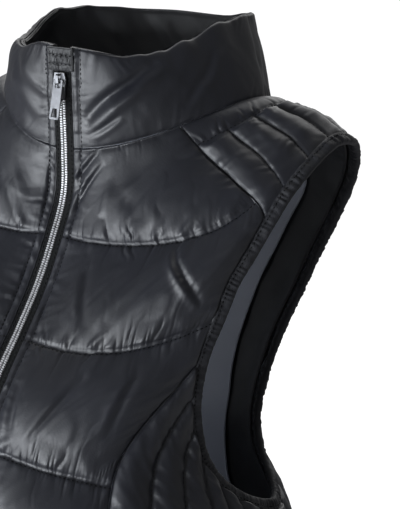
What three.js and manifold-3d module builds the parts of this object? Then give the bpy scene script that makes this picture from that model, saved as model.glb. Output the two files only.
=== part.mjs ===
// A quilted puffer vest, zipped up and filled out as if worn, with no wearer.
// Millimetres, +Z up. The garment faces -Y, and the wearer's left side is +X.
// The origin lies midway between the two high shoulder points, where the neck seam crosses the shoulders.
import * as THREE from 'three';
import { mergeVertices } from 'three/addons/utils/BufferGeometryUtils.js';
import Module from 'manifold-3d';

const wasm = await Module();
wasm.setup();

// Driving sizes
const SEAM_GAP = 0.3; // between neighbouring pieces of cloth
const EDGE_SHIFT = 0.09; // half a seam gap, in degrees round the body
const WALL = 3; // shell, thin filling and lining pressed together along a seam
const COLLAR_HEIGHT = 66; // of the stand collar at the centre front
const CENTRE_LENGTH = 575; // from the collar seam to the hem, down the centre front
const FRONT_PUFF = 9; // how far a channel of the fronts and back swells over its seams
const SIDE_PUFF = 6;
const YOKE_PUFF = 4.5;
const COLLAR_PUFF = 4;
const COLLAR_FLATTEST = 0.15; // share of that puff at the collar's sides and back, where it is pulled flat
const PLACKET = 8.3; // from the centre front to the edge of each front
const CHAIN_WIDTH = 4.2;
const BINDING_WIDTH = 9;
const BINDING_THICKNESS = 5.4;
const BINDING_GAP = 0.7;
const FACING_WIDTH = 44;
const FACING_DEPTH = [-4.3, -5.1]; // its two faces, measured from the outside of a seam
const LINING_DEPTH = [-6.5, -7.3];
const LINING_TOP = 8; // from the neck seam down to the lining
const COLLAR_INNER_DEPTH = [-3.8, -5.6];
const COLLAR_INNER_PUFF = 2;

// The body without its puffs, as half sections from the neck seam to the hem, a row for each level.
// down: how far down the centre front the level starts. Angles run round it from -90 at the centre
// front over 0 at the side to 90 at the centre back. halfWidth is its reach at 0, where it is at
// sideY and sideZ. It passes frontY, frontZ at the centre front and backY, backZ at the centre back,
// and the two squareness values are the powers of its rounded quarters.
const LEVEL = ['down', 'halfWidth', 'sideY', 'frontY', 'backY', 'frontSquare', 'backSquare',
  'frontZ', 'sideZ', 'backZ'];
const BODY = [
  [0, 99, 6, -76, 63, 2.2, 2.1, -46, 3, -14],
  [28, 123, 1, -70, 80, 2.2, 2.1, -74, -1.5, -40],
  [60, 150, 3, -77, 90, 2.4, 2.2, -105, -8.5, -72],
  [92, 169, 6, -88, 95, 2.5, 2.1, -135, -28, -105],
  [125, 158, 4, -103, 98, 2.5, 2.0, -163, -85, -140],
  [160, 136.5, -5, -121, 98, 2.5, 1.9, -193, -155, -178],
  [200, 128, -8, -138, 98, 2.5, 1.8, -229, -218, -222],
  [245, 154.5, -8, -147, 100, 2.4, 2.0, -273, -272, -268],
  [330, 170, -6, -141, 102, 2.3, 2.3, -357, -357, -352],
  [420, 168, -5, -132, 100, 2.3, 2.4, -447, -447, -442],
  [CENTRE_LENGTH, 194, -5, -138, 118, 2.3, 2.4, -600, -600, -598],
];

// The rim of the collar: its height over the origin at angles all round, and its plan.
// It stands high behind and on the wearer's left, and has slumped a little on the right.
const RIM_HEIGHT = [
  [-90, 18], [-62, 17], [-52, 20], [-43, 24], [-32, 33], [-14, 49], [0, 57], [15, 60], [38, 61], [60, 59],
  [92, 60], [126, 58], [147, 56], [167, 51], [181, 42], [190, 30], [205, 21], [234, 17], [252, 20], [270, 18],
];
const RIM_PLAN = { halfWidth: 82, sideY: 1, frontY: -96, backY: 62, frontSquare: 1.6, backSquare: 2 };
// How the wearer's right shoulder has settled: how far it has moved, within what distance of the
// middle that starts, and between which heights and distances it grows to the full amount
const SETTLE = { inwards: 12, within: 60, low: -130, high: -30, down: 6, near: 85, far: 130 };
const RIM_LEAN = 3; // its sides lean this far to the wearer's right
// Where the collar rolls outwards on the wearer's right, how far round, and how far at the rim
const ROLL = { angle: 208, within: 32, out: 6.5 };

// Where the back lining's side edges run, as down and angle: over the facings' edges, then inwards
const LINING_EDGE = [[0, 54], [150, 54], [205, 50], [235, 43], [270, 34], [330, 30], [CENTRE_LENGTH, 30]];

// The left armhole edge of the cloth, clockwise seen from outside, as down and angle
const ARMHOLE = [
  [73, 0], [72, -12], [75, -24], [83, -34], [95, -39], [110, -41], [125, -41.5], [142, -39],
  [160, -36.3], [178, -32.5], [195, -28], [211, -24], [223, -19], [231, -12], [236, -2],
  [236, 8], [230, 17], [214, 26], [192, 32], [165, 37], [142, 39.5], [120, 40], [100, 36], [86, 29],
  [76, 20], [72, 10],
];
const YOKE_CORNER = 4; // the armhole row where the front yoke seam meets it
const PRINCESS_CORNER = 8; // the armhole row where the front princess seam starts
const BACK_PRINCESS_CORNER = 19;
const BACK_YOKE_CORNER = 22;

// Yoke seams leave the neck seam at this angle before and behind the shoulder
const YOKE_NECK_ANGLE = 46;
// Princess seams swing from the armhole to this angle before and behind the side, within this length
const PRINCESS_ANGLE = 58;
const PRINCESS_SWING = 70;

// Stitch lines across a front, where each starts at the zip, where it ends at the outer seam,
// how far it dips between them, and how far towards the outer seam the dip leans
const FRONT_LINES = [
  { centre: 0, outer: 0, dip: 0, lean: 1 },
  { centre: 57, outer: 80, dip: 9, lean: 2 },
  { centre: 132, outer: 140, dip: 8, lean: 1 },
  { centre: 207, outer: 220, dip: 1, lean: 1 },
  { centre: 282, outer: 291, dip: 3, lean: 1 },
  { centre: 357, outer: 364, dip: 3, lean: 1 },
  { centre: 432, outer: 437, dip: 3, lean: 1 },
  { centre: 505, outer: 508, dip: 2, lean: 1 },
  { centre: CENTRE_LENGTH, outer: CENTRE_LENGTH, dip: 0, lean: 1 },
];
const BACK_LINES = [
  { centre: 0, outer: 0, dip: 0, lean: 1 },
  { centre: 66, outer: 84, dip: 3, lean: 1 },
  { centre: 138, outer: 148, dip: 3, lean: 1 },
  { centre: 210, outer: 216, dip: 2, lean: 1 },
  { centre: 282, outer: 290, dip: 2, lean: 1 },
  { centre: 357, outer: 363, dip: 2, lean: 1 },
  { centre: 432, outer: 437, dip: 2, lean: 1 },
  { centre: 505, outer: 508, dip: 2, lean: 1 },
  { centre: CENTRE_LENGTH, outer: CENTRE_LENGTH, dip: 0, lean: 1 },
];
const ROWS_IN_CHANNEL = 4;
const FRONT_COLUMNS = 9;
const BACK_COLUMNS = 16;
const SIDE_CHANNELS = 12;
const SIDE_END = 0.04; // share of a side panel's length that its ends start in, for a fuller puff
const COLUMNS_IN_CHANNEL = 3;
const YOKE_CHANNELS = 8;
// Rows of the fronts and the back that meet a row of the yokes, and of the side panels
const YOKE_SEAM_ROWS = [0, 1, 2, 3, 4, 5];
const PRINCESS_SEAM_ROWS = [9, 10, 11, 12, 14, 16, 18, 20, 24, 28, 32];
const YOKE_BAND = 19; // from the neck seam to the stitch line that crosses the yoke
const YOKE_BAND_PUFF = 0.7; // share of the yoke's puff
const COLLAR_COLUMNS = 40;
const COLLAR_ROWS = 6;
const COLLAR_INNER_COLUMNS = 28;
const COLLAR_INNER_ROWS = 4;
const ARMHOLE_STEPS = 48; // round the binding and the facing
const BINDING_SIDES = 6;
const HALVINGS = 30; // to find the armhole's angle at a level
const FACING_ROWS = 4;
const FACING_SLIDES = 6; // small moves over the body from the edge to the facing's full width
const LINING_COLUMNS = 14;
const LINING_ROWS = 26;
const TAPE_ROWS = 34;
const CHAIN_ROWS = 30;

// Zip slider and pull tab
const PIVOT_ABOVE_SEAM = 45; // from the neck seam up to the bar that the tab swings on
const CHAIN_LIFT = [0.8, -1.4]; // front and back of the teeth, from the outside of a seam
const TAPE_LIFT = [-0.4, -1.8];
const TAPE_EDGES = [2.4, 7.9]; // from the centre front
const TAPE_MARGIN = 1; // from its ends to the rim of the collar and to the hem
const SLIDER = { above: 4.5, below: 12.5, top: 9, bottom: 6.4, nose: 7.2, lift: 1.1, thick: 1.4 };
const BRIDGE = { width: 1.8, above: 4.1, below: 2.1, thick: 1.2, inside: 2.1, chamfer: 0.6 };
const TAB = { width: 7.2, length: 26, thick: 1.1, bar: 1.1, eyeWidth: 3.6, eyeHeight: 4.4, corner: 0.8 };
const TAB_WINDOW = { top: 3, bottom: 4.4, height: 5.6, margin: 1.6 };
const GARAGE = { halfWidth: 9.5, foot: 50.5, top: 65.5, lift: 0.4, thick: 1.8, bow: 0.5,
  pucker: 1.4, puckers: 4 };
const PIVOT_LIFT = SLIDER.lift + SLIDER.thick + BRIDGE.inside / 2; // of the bar, above the cloth
const ZIP_BOX = { length: 12, front: 1.8, hemMargin: 1.5 };
const TEETH_END = CENTRE_LENGTH - ZIP_BOX.hemMargin - ZIP_BOX.length - SEAM_GAP;

const BLACK_NYLON = { color: 0x2c2d31, roughness: 0.42, metalness: 0 };
const BLACK_TRIM = { color: 0x202124, roughness: 0.6, metalness: 0 };
const GREY_LINING = { color: 0x474a52, roughness: 0.5, metalness: 0 };
const SILVER = { color: 0xc9cacc, roughness: 0.3, metalness: 1 };

// Curves and tables

const mix = (a, b, t) => a + (b - a) * t;
const radians = THREE.MathUtils.degToRad;
const degrees = THREE.MathUtils.radToDeg;

// Every column of a table at x, on smooth cubic runs between its rows
function smoothRow(table, x) {
  const last = table.length - 2;
  let i = 0;
  while (i < last && x >= table[i + 1][0]) i++;
  const run = (k) => table[k + 1][0] - table[k][0];
  const slope = (k, c) => (table[k + 1][c] - table[k][c]) / run(k);
  const tangent = (k, c) => {
    if (k === 0) return slope(0, c);
    if (k === table.length - 1) return slope(k - 1, c);
    return (slope(k - 1, c) * run(k) + slope(k, c) * run(k - 1)) / (run(k - 1) + run(k));
  };
  const t = (x - table[i][0]) / run(i);
  const [t2, t3] = [t * t, t * t * t];
  return table[i].map((_, c) => (2 * t3 - 3 * t2 + 1) * table[i][c]
    + (t3 - 2 * t2 + t) * run(i) * tangent(i, c) + (3 * t2 - 2 * t3) * table[i + 1][c] + (t3 - t2) * run(i) * tangent(i + 1, c));
}

function bodyLevel(down) {
  const row = smoothRow(BODY, down);
  return Object.fromEntries(LEVEL.map((name, c) => [name, row[c]]));
}

// A point of a level's plan at an angle: quarters of a superellipse
function planPoint(level, angle) {
  const [c, s] = [Math.cos(radians(angle)), Math.sin(radians(angle))];
  const power = s < 0 ? level.frontSquare : level.backSquare;
  const reach = s < 0 ? level.sideY - level.frontY : level.backY - level.sideY;
  const scale = (Math.abs(c) ** power + Math.abs(s) ** power) ** (-1 / power);
  return [level.halfWidth * c * scale, level.sideY + reach * s * scale, s * s];
}

function bodyPoint(down, angle) {
  const level = bodyLevel(down);
  const [x, y, turn] = planPoint(level, angle);
  const end = Math.sin(radians(angle)) < 0 ? level.frontZ : level.backZ;
  return new THREE.Vector3(x, y, mix(level.sideZ, end, turn));
}

// The collar rises from the neck seam (up = 0) to its rim (up = 1)
function collarPoint(up, angle) {
  const foot = bodyPoint(0, angle);
  const [x, y, turn] = planPoint(RIM_PLAN, angle);
  const rim = new THREE.Vector3(x - RIM_LEAN * (1 - turn), y, smoothRow(RIM_HEIGHT, angle)[1]);
  return foot.lerp(rim, up);
}

// Outward direction of a surface(a, b) whose second parameter runs round the body anticlockwise
function outward(surface, a, b, stepA, stepB) {
  const alongA = surface(a + stepA, b).sub(surface(a - stepA, b));
  const alongB = surface(a, b + stepB).sub(surface(a, b - stepB));
  return alongA.cross(alongB).normalize();
}

const onBody = (down, angle, lift) => bodyPoint(down, angle)
  .addScaledVector(outward(bodyPoint, Math.max(down, 0.6), angle, 0.5, 0.2), lift);
const onCollar = (up, angle, lift) => {
  const inside = THREE.MathUtils.clamp(angle, -89.7, 269.7);
  const roll = ROLL.out * Math.exp(-(((angle - ROLL.angle) / ROLL.within) ** 2))
    * THREE.MathUtils.smoothstep(up, 0.1, 0.9);
  return collarPoint(up, angle).addScaledVector(outward(collarPoint, up, inside, -0.01, 0.2), lift + roll);
};

// Armhole edge and seams, as down and angle on the left half of the body

// Catmull-Rom curve round the armhole, at a place measured in rows of its table
function armhole(place) {
  const count = ARMHOLE.length;
  const at = (k) => ARMHOLE[((k % count) + count) % count];
  const k = Math.floor(place);
  const t = place - k;
  const [p, q, r, s] = [at(k - 1), at(k), at(k + 1), at(k + 2)];
  return [0, 1].map((c) => 0.5 * (2 * q[c] + (r[c] - p[c]) * t
    + (2 * p[c] - 5 * q[c] + 4 * r[c] - s[c]) * t * t + (3 * q[c] - p[c] - 3 * r[c] + s[c]) * t ** 3));
}

// The armhole's angle at a level, between two of its rows where down grows or falls steadily
function armholeAngle(down, from, to) {
  let [low, high] = [from, to];
  for (let step = 0; step < HALVINGS; step++) {
    const middle = (low + high) / 2;
    if ((armhole(middle)[0] < down) === (ARMHOLE[from][0] < ARMHOLE[to][0])) low = middle;
    else high = middle;
  }
  return armhole(low)[1];
}

// A row of a quilted panel: which channel it is in, and its place between the lines around it
function quiltRow(lines, row) {
  const channel = Math.min(Math.floor(row / ROWS_IN_CHANNEL), lines.length - 2);
  const share = row / ROWS_IN_CHANNEL - channel;
  const line = (key) => mix(lines[channel][key], lines[channel + 1][key], share);
  return { phase: row / ROWS_IN_CHANNEL, centre: line('centre'), outer: line('outer'), dip: line('dip'),
    lean: line('lean') };
}

// How far along a seam each of the rows that meet on it lies, from 0 to 1, at a share u of the way
// from the front seam to the back seam of the piece between them
function seamShare(rows, k, u) {
  const along = (lines) => {
    const [start, level, end] = [rows[0], rows[k], rows.at(-1)].map((row) => quiltRow(lines, row).outer);
    return (level - start) / (end - start);
  };
  return mix(along(FRONT_LINES), along(BACK_LINES), u);
}

// A line that starts at a place on the armhole and swings to its own angle before the hem
const swing = (top, startAngle, endAngle, down) => mix(startAngle, endAngle,
  Math.tanh((down - top) / PRINCESS_SWING));

// The princess seam before or behind the side, as its places [down, angle] at the side panel's rows
function princessSeam(isFront) {
  const [top, startAngle] = ARMHOLE[isFront ? PRINCESS_CORNER : BACK_PRINCESS_CORNER];
  const endAngle = Math.sign(startAngle) * PRINCESS_ANGLE;
  return PRINCESS_SEAM_ROWS.map((_, k) => {
    const down = mix(top, CENTRE_LENGTH, seamShare(PRINCESS_SEAM_ROWS, k, isFront ? 0 : 1));
    return [down, swing(top, startAngle, endAngle, down)];
  });
}

// The yoke seam before or behind the shoulder, as its places [down, angle] at the yoke's rows
function yokeSeam(isFront) {
  const [end, endAngle] = ARMHOLE[isFront ? YOKE_CORNER : BACK_YOKE_CORNER];
  const neckAngle = Math.sign(endAngle) * YOKE_NECK_ANGLE;
  return YOKE_SEAM_ROWS.map((_, k) => {
    const share = seamShare(YOKE_SEAM_ROWS, k, isFront ? 0 : 1);
    return [end * share, mix(neckAngle, endAngle, share * share)];
  });
}

// The run of a seam that holds a level: its two places and how far between them the level is
function seamRun(seam, down) {
  let row = 0;
  while (row < seam.length - 2 && down > seam[row + 1][0]) row++;
  const [above, below] = [seam[row], seam[row + 1]];
  return { above, below, share: (down - above[0]) / (below[0] - above[0]) };
}

// The outer edge of a front or the back at a level: yoke seam, then armhole, then princess seam.
// shift moves it round the body by a small angle. Its point is straight between the neighbour's rows.
function outerEdge(down, isFront, shift) {
  const [yokeCorner, princessCorner] = isFront
    ? [YOKE_CORNER, PRINCESS_CORNER] : [BACK_YOKE_CORNER, BACK_PRINCESS_CORNER];
  const [upper, lower] = [ARMHOLE[yokeCorner][0], ARMHOLE[princessCorner][0]];
  if (down > upper && down < lower) {
    const angle = armholeAngle(down, yokeCorner, princessCorner) + shift;
    return { angle, point: (lift) => onBody(down, angle, lift) };
  }
  const seam = down <= upper ? yokeSeam(isFront) : princessSeam(isFront);
  const { above, below, share } = seamRun(seam, down);
  const end = ([d, angle], lift) => onBody(Math.max(d, SEAM_GAP), angle + shift, lift);
  return {
    angle: mix(above[1], below[1], share) + shift,
    point: (lift) => end(above, lift).lerp(end(below, lift), share),
  };
}

// The angle at a level that lies this far to the left of the centre front or back
function angleAt(distance, level, end) {
  return end * (90 - degrees(Math.asin(distance / level.halfWidth)));
}

// Channels: 0 on a stitch line, 1 at the fullest, which hangs a little low
const swell = (channel, sag = 1.2) => Math.abs(Math.sin(Math.PI * ((channel % 1 + 1) % 1) ** sag)) ** 0.7;
const fade = (share, power = 0.5) => Math.max(Math.sin(Math.PI * share), 0) ** power;

// Closed walls

// A wall over a grid of columns and rows: outer(i, j) and inner(i, j) are its two faces.
// closed joins the last column to the first, and otherwise the wall has an edge there.
function wall(columns, rows, outer, inner, closed = false) {
  const points = [];
  const across = closed ? columns : columns + 1;
  for (const face of [outer, inner]) {
    for (let j = 0; j <= rows; j++) {
      for (let i = 0; i < across; i++) points.push(face(i, j));
    }
  }
  const sheet = across * (rows + 1);
  const id = (layer, i, j) => layer * sheet + j * across + (i % across);
  const faces = [];
  const quad = (a, b, c, d) => faces.push(a, b, c, a, c, d);
  for (let j = 0; j < rows; j++) {
    for (let i = 0; i < columns; i++) {
      quad(id(0, i, j), id(0, i + 1, j), id(0, i + 1, j + 1), id(0, i, j + 1));
      quad(id(1, i, j), id(1, i, j + 1), id(1, i + 1, j + 1), id(1, i + 1, j));
    }
  }
  for (let i = 0; i < columns; i++) {
    quad(id(0, i, 0), id(1, i, 0), id(1, i + 1, 0), id(0, i + 1, 0));
    quad(id(0, i, rows), id(0, i + 1, rows), id(1, i + 1, rows), id(1, i, rows));
  }
  for (let j = 0; j < rows && !closed; j++) {
    quad(id(0, 0, j), id(0, 0, j + 1), id(1, 0, j + 1), id(1, 0, j));
    quad(id(0, columns, j), id(1, columns, j), id(1, columns, j + 1), id(0, columns, j + 1));
  }
  return solid(points, faces);
}

// A tube round a closed loop, or capped along an open path: section(i) gives its points at step i
function tube(steps, section, closed) {
  const rings = [];
  for (let i = 0; i < (closed ? steps : steps + 1); i++) rings.push(section(i));
  const sides = rings[0].length;
  const id = (i, k) => (i % rings.length) * sides + (k % sides);
  const faces = [];
  for (let i = 0; i < steps; i++) {
    for (let k = 0; k < sides; k++) {
      faces.push(id(i, k), id(i + 1, k), id(i + 1, k + 1), id(i, k), id(i + 1, k + 1), id(i, k + 1));
    }
  }
  for (let k = 1; k < sides - 1 && !closed; k++) {
    faces.push(id(0, 0), id(0, k), id(0, k + 1), id(steps, 0), id(steps, k + 1), id(steps, k));
  }
  return solid(rings.flat(), faces);
}

// The wearer's right shoulder has settled a little inwards and down
function settled(point) {
  if (point.x >= 0) return point;
  const share = THREE.MathUtils.smoothstep(point.z, SETTLE.low, SETTLE.high);
  const inwards = SETTLE.inwards * share * (1 - Math.exp(-((point.x / SETTLE.within) ** 2)));
  const down = SETTLE.down * share * THREE.MathUtils.smoothstep(-point.x, SETTLE.near, SETTLE.far);
  return new THREE.Vector3(point.x + inwards, point.y, point.z - down);
}

// A geometry from points and faces, turned right side out
function solid(places, faces) {
  const points = places.map(settled);
  let volume = 0;
  for (let f = 0; f < faces.length; f += 3) {
    const [a, b, c] = [points[faces[f]], points[faces[f + 1]], points[faces[f + 2]]];
    volume += a.dot(b.clone().cross(c));
  }
  const indices = volume > 0 ? faces : faces.slice().reverse();
  const geometry = new THREE.BufferGeometry();
  geometry.setAttribute('position', new THREE.Float32BufferAttribute(points.flatMap((p) => p.toArray()), 3));
  geometry.setIndex(indices);
  geometry.computeVertexNormals();
  return geometry;
}

const MIRROR = new THREE.Vector3(-1, 1, 1);
const mirrored = (face) => (...args) => face(...args).multiply(MIRROR);
const bothSides = (face, right) => (right ? mirrored(face) : face);

// Quilted panels

// Keeps a panel's top edge clear of the neck seam, and its side edges clear of the seams' lines
const trimmed = (down) => Math.max(down, SEAM_GAP);
const edgeShift = (i, columns) => (i === 0 ? EDGE_SHIFT : 0) - (i === columns ? EDGE_SHIFT : 0);

function front(right) {
  const rows = (FRONT_LINES.length - 1) * ROWS_IN_CHANNEL;
  const place = (i, j) => {
    const u = i / FRONT_COLUMNS;
    const row = quiltRow(FRONT_LINES, j);
    const start = angleAt(PLACKET, bodyLevel(row.centre), -1);
    const edge = outerEdge(row.outer, true, -EDGE_SHIFT);
    const down = mix(row.centre, row.outer, u) + row.dip * Math.sin(Math.PI * u ** row.lean);
    return { down: trimmed(down), angle: mix(start, edge.angle, u), u, phase: row.phase, edge };
  };
  const outer = (i, j) => {
    const p = place(i, j);
    if (i === FRONT_COLUMNS) return p.edge.point(0);
    return onBody(p.down, p.angle, FRONT_PUFF * swell(p.phase) * fade(p.u));
  };
  const inner = (i, j) => {
    const p = place(i, j);
    return i === FRONT_COLUMNS ? p.edge.point(-WALL) : onBody(p.down, p.angle, -WALL);
  };
  return wall(FRONT_COLUMNS, rows, bothSides(outer, right), bothSides(inner, right));
}

function backPlace(i, j, columns, rows) {
  const across = 2 * i / columns - 1; // -1 at the wearer's left seam, 1 at the right one
  const row = quiltRow(BACK_LINES, j / rows * (BACK_LINES.length - 1) * ROWS_IN_CHANNEL);
  const u = Math.abs(across);
  const edge = outerEdge(row.outer, false, EDGE_SHIFT);
  const down = mix(row.centre, row.outer, u ** 2) + row.dip * Math.sin(Math.PI * u);
  const angle = mix(90, edge.angle, u);
  const right = across > 0;
  const point = (lift) => (right ? edge.point(lift).multiply(MIRROR) : edge.point(lift));
  return { down: trimmed(down), angle: right ? 180 - angle : angle, u, phase: row.phase, point };
}

function back() {
  const rows = (BACK_LINES.length - 1) * ROWS_IN_CHANNEL;
  const outer = (i, j) => {
    const p = backPlace(i, j, BACK_COLUMNS, rows);
    if (p.u === 1) return p.point(0);
    return onBody(p.down, p.angle, FRONT_PUFF * swell(p.phase) * fade(0.5 + p.u / 2));
  };
  const inner = (i, j) => {
    const p = backPlace(i, j, BACK_COLUMNS, rows);
    return p.u === 1 ? p.point(-WALL) : onBody(p.down, p.angle, -WALL);
  };
  return wall(BACK_COLUMNS, rows, outer, inner);
}

function side(right) {
  const columns = SIDE_CHANNELS * COLUMNS_IN_CHANNEL;
  const rows = PRINCESS_SEAM_ROWS.length - 1;
  const place = (i, j) => {
    const u = i / columns;
    const [top, topAngle] = armhole(mix(PRINCESS_CORNER, BACK_PRINCESS_CORNER, u));
    const share = seamShare(PRINCESS_SEAM_ROWS, j, u);
    const down = mix(top, CENTRE_LENGTH, share);
    const hemAngle = mix(-PRINCESS_ANGLE, PRINCESS_ANGLE, u);
    return { down, angle: swing(top, topAngle, hemAngle, down) + edgeShift(i, columns), u, share };
  };
  const outer = (i, j) => {
    const p = place(i, j);
    const lift = SIDE_PUFF * swell(p.u * SIDE_CHANNELS, 1) * fade(mix(SIDE_END, 1 - SIDE_END, p.share), 0.35);
    return onBody(p.down, p.angle, j === 0 || j === rows ? 0 : lift);
  };
  const inner = (i, j) => {
    const p = place(i, j);
    return onBody(p.down, p.angle, -WALL);
  };
  return wall(columns, rows, bothSides(outer, right), bothSides(inner, right));
}

function yoke(right) {
  const columns = YOKE_CHANNELS * COLUMNS_IN_CHANNEL;
  const rows = YOKE_SEAM_ROWS.length - 1;
  const last = BACK_YOKE_CORNER - ARMHOLE.length; // the same row, counted back over the start
  const place = (i, j) => {
    const u = i / columns;
    const [end, endAngle] = armhole(mix(YOKE_CORNER, last, u));
    const share = seamShare(YOKE_SEAM_ROWS, j, u);
    const neckAngle = mix(-YOKE_NECK_ANGLE, YOKE_NECK_ANGLE, u);
    const angle = mix(neckAngle, endAngle, share * share) + edgeShift(i, columns);
    return { down: trimmed(end * share), angle, u, share };
  };
  const outer = (i, j) => {
    const p = place(i, j);
    const channels = swell(p.u * YOKE_CHANNELS, 1) * fade(0.5 + p.share / 2, 0.5);
    const band = YOKE_BAND_PUFF * fade(p.u) * fade(p.down / YOKE_BAND);
    return onBody(p.down, p.angle, YOKE_PUFF * (p.down < YOKE_BAND ? band : channels));
  };
  const inner = (i, j) => {
    const p = place(i, j);
    return onBody(p.down, p.angle, -WALL);
  };
  return wall(columns, rows, bothSides(outer, right), bothSides(inner, right));
}

// Collar, from one side of the zip round the neck to the other
function collarPart(columns, rows, faces, puff) {
  const foot = SEAM_GAP / COLLAR_HEIGHT;
  const start = (up) => angleAt(PLACKET, { halfWidth: mix(BODY[0][1], RIM_PLAN.halfWidth, up) }, -1);
  const face = (depth, lift) => (i, j) => {
    const up = mix(foot, 1, j / rows);
    const angle = mix(start(up), 180 - start(up), i / columns);
    const fullness = mix(COLLAR_FLATTEST, 1, Math.sqrt(Math.max(-Math.sin(radians(angle)), 0)));
    return onCollar(up, angle, depth + lift * fullness * fade(j / rows, 0.6) * fade(i / columns, 0.3));
  };
  return wall(columns, rows, face(faces[0], puff[0]), face(faces[1], puff[1]));
}

// Trim of the armholes

// The armhole edge in space: its point, the direction along it, the outward normal of the cloth
// and the direction that lies in the cloth and points away from the opening
function armholeFrame(place) {
  const point = (p) => bodyPoint(...armhole(p));
  const along = point(place + 0.02).sub(point(place - 0.02)).normalize();
  const normal = outward(bodyPoint, ...armhole(place), 0.5, 0.2);
  const away = along.clone().cross(normal).normalize();
  return { point: point(place), along, normal, away };
}

function binding(right) {
  const section = (i) => {
    const frame = armholeFrame(i / ARMHOLE_STEPS * ARMHOLE.length);
    const ring = [];
    for (let k = 0; k < BINDING_SIDES; k++) {
      const turn = 2 * Math.PI * (k + 0.5) / BINDING_SIDES;
      const width = BINDING_WIDTH / 2 * Math.sign(Math.cos(turn)) * Math.abs(Math.cos(turn)) ** 0.6;
      const height = BINDING_THICKNESS / 2 * Math.sin(turn);
      const point = frame.point.clone()
        .addScaledVector(frame.away, -(BINDING_GAP + BINDING_WIDTH / 2) + width)
        .addScaledVector(frame.normal, -WALL / 2 + height);
      ring.push(right ? point.multiply(MIRROR) : point);
    }
    return ring;
  };
  return tube(ARMHOLE_STEPS, section, true);
}

// Moves a place on the body (down, angle) by a small distance along a direction in its surface
function slide([down, angle], direction, distance) {
  const downStep = bodyPoint(down + 0.5, angle).sub(bodyPoint(down - 0.5, angle));
  const angleStep = bodyPoint(down, angle + 0.5).sub(bodyPoint(down, angle - 0.5));
  const [dd, da, aa] = [downStep.dot(downStep), downStep.dot(angleStep), angleStep.dot(angleStep)];
  const [d, a] = [direction.dot(downStep), direction.dot(angleStep)];
  const scale = distance / (dd * aa - da * da);
  return [down + scale * (d * aa - a * da), angle + scale * (a * dd - d * da)];
}

function facing(right) {
  const face = (depth) => (i, j) => {
    const place = i / ARMHOLE_STEPS * ARMHOLE.length;
    const frame = armholeFrame(place);
    const move = FACING_WIDTH * j / FACING_ROWS / FACING_SLIDES;
    let spot = slide(armhole(place), frame.away, 1);
    for (let k = 0; k < FACING_SLIDES; k++) spot = slide(spot, frame.away, move);
    return onBody(...spot, depth);
  };
  return wall(ARMHOLE_STEPS, FACING_ROWS, bothSides(face(FACING_DEPTH[0]), right),
    bothSides(face(FACING_DEPTH[1]), right), true);
}

// Lining of the back, from one facing to the other
function backLining() {
  const face = (depth) => (i, j) => {
    const down = mix(LINING_TOP, CENTRE_LENGTH - LINING_TOP, j / LINING_ROWS);
    const edge = smoothRow(LINING_EDGE, down)[1];
    return onBody(down, mix(edge, 180 - edge, i / LINING_COLUMNS), depth);
  };
  return wall(LINING_COLUMNS, LINING_ROWS, face(LINING_DEPTH[0]), face(LINING_DEPTH[1]));
}

// Zip

// The centre front at a level: its point, outward and upward directions. Negative levels are on the collar
function centreFront(down) {
  const point = (d) => (d >= 0 ? bodyPoint(d, -90) : collarPoint(-d / COLLAR_HEIGHT, -90));
  const up = point(down - 0.5).sub(point(down + 0.5)).normalize();
  const out = new THREE.Vector3(1, 0, 0).cross(up).negate().normalize();
  if (out.y > 0) out.negate();
  return { point: point(down), up, out };
}

// A flat strip along the centre front between two levels, edges and lifts
function strip(rows, from, to, edges, lifts) {
  const section = (j) => {
    const frame = centreFront(mix(from, to, j / rows));
    const corners = [[0, 0], [1, 0], [1, 1], [0, 1]];
    return corners.map(([e, l]) => frame.point.clone().setX(edges[e]).addScaledVector(frame.out, lifts[l]));
  };
  return tube(rows, section, false);
}

const COLLAR_TOP = TAPE_MARGIN - COLLAR_HEIGHT;
const zipTape = (hand) => strip(TAPE_ROWS, COLLAR_TOP, CENTRE_LENGTH - TAPE_MARGIN,
  TAPE_EDGES.map((x) => x * hand), TAPE_LIFT);
const zipChain = () => strip(CHAIN_ROWS, SLIDER.below - PIVOT_ABOVE_SEAM, TEETH_END,
  [-CHAIN_WIDTH / 2, CHAIN_WIDTH / 2], CHAIN_LIFT);
const zipBox = () => strip(1, TEETH_END + SEAM_GAP, TEETH_END + SEAM_GAP + ZIP_BOX.length,
  [-CHAIN_WIDTH / 2, CHAIN_WIDTH / 2], [ZIP_BOX.front, CHAIN_LIFT[1]]);

// The puckered cloth over the top end of the zip, which lies on the collar's edges
function garage() {
  const [columns, rows] = [GARAGE.puckers * 3, 4];
  const face = (lift) => (i, j) => {
    const frame = centreFront(-mix(GARAGE.foot, GARAGE.top, j / rows));
    const x = mix(-GARAGE.halfWidth, GARAGE.halfWidth, i / columns);
    return frame.point.setX(x).addScaledVector(frame.out, lift(i / columns, j / rows));
  };
  const bow = (u) => GARAGE.bow * Math.cos(Math.PI * (u - 0.5));
  const outer = (u, v) => GARAGE.lift + GARAGE.thick + bow(u) + GARAGE.pucker * swell(u * GARAGE.puckers, 1)
    * fade(v, 0.5);
  return wall(columns, rows, face(outer), face(() => GARAGE.lift));
}

// Boolean union of closed geometries
function joined(geometries) {
  const solids = geometries.map((geometry) => {
    const bare = geometry.clone();
    for (const name of ['normal', 'uv']) bare.deleteAttribute(name);
    const merged = mergeVertices(bare);
    return new wasm.Manifold(new wasm.Mesh({
      numProp: 3, vertProperties: merged.attributes.position.array,
      triVerts: Uint32Array.from(merged.index.array),
    }));
  });
  const mesh = solids.reduce((a, b) => a.add(b)).getMesh();
  const geometry = new THREE.BufferGeometry();
  geometry.setAttribute('position', new THREE.BufferAttribute(mesh.vertProperties.slice(), 3));
  geometry.setIndex(Array.from(mesh.triVerts));
  geometry.computeVertexNormals();
  return geometry;
}

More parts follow.
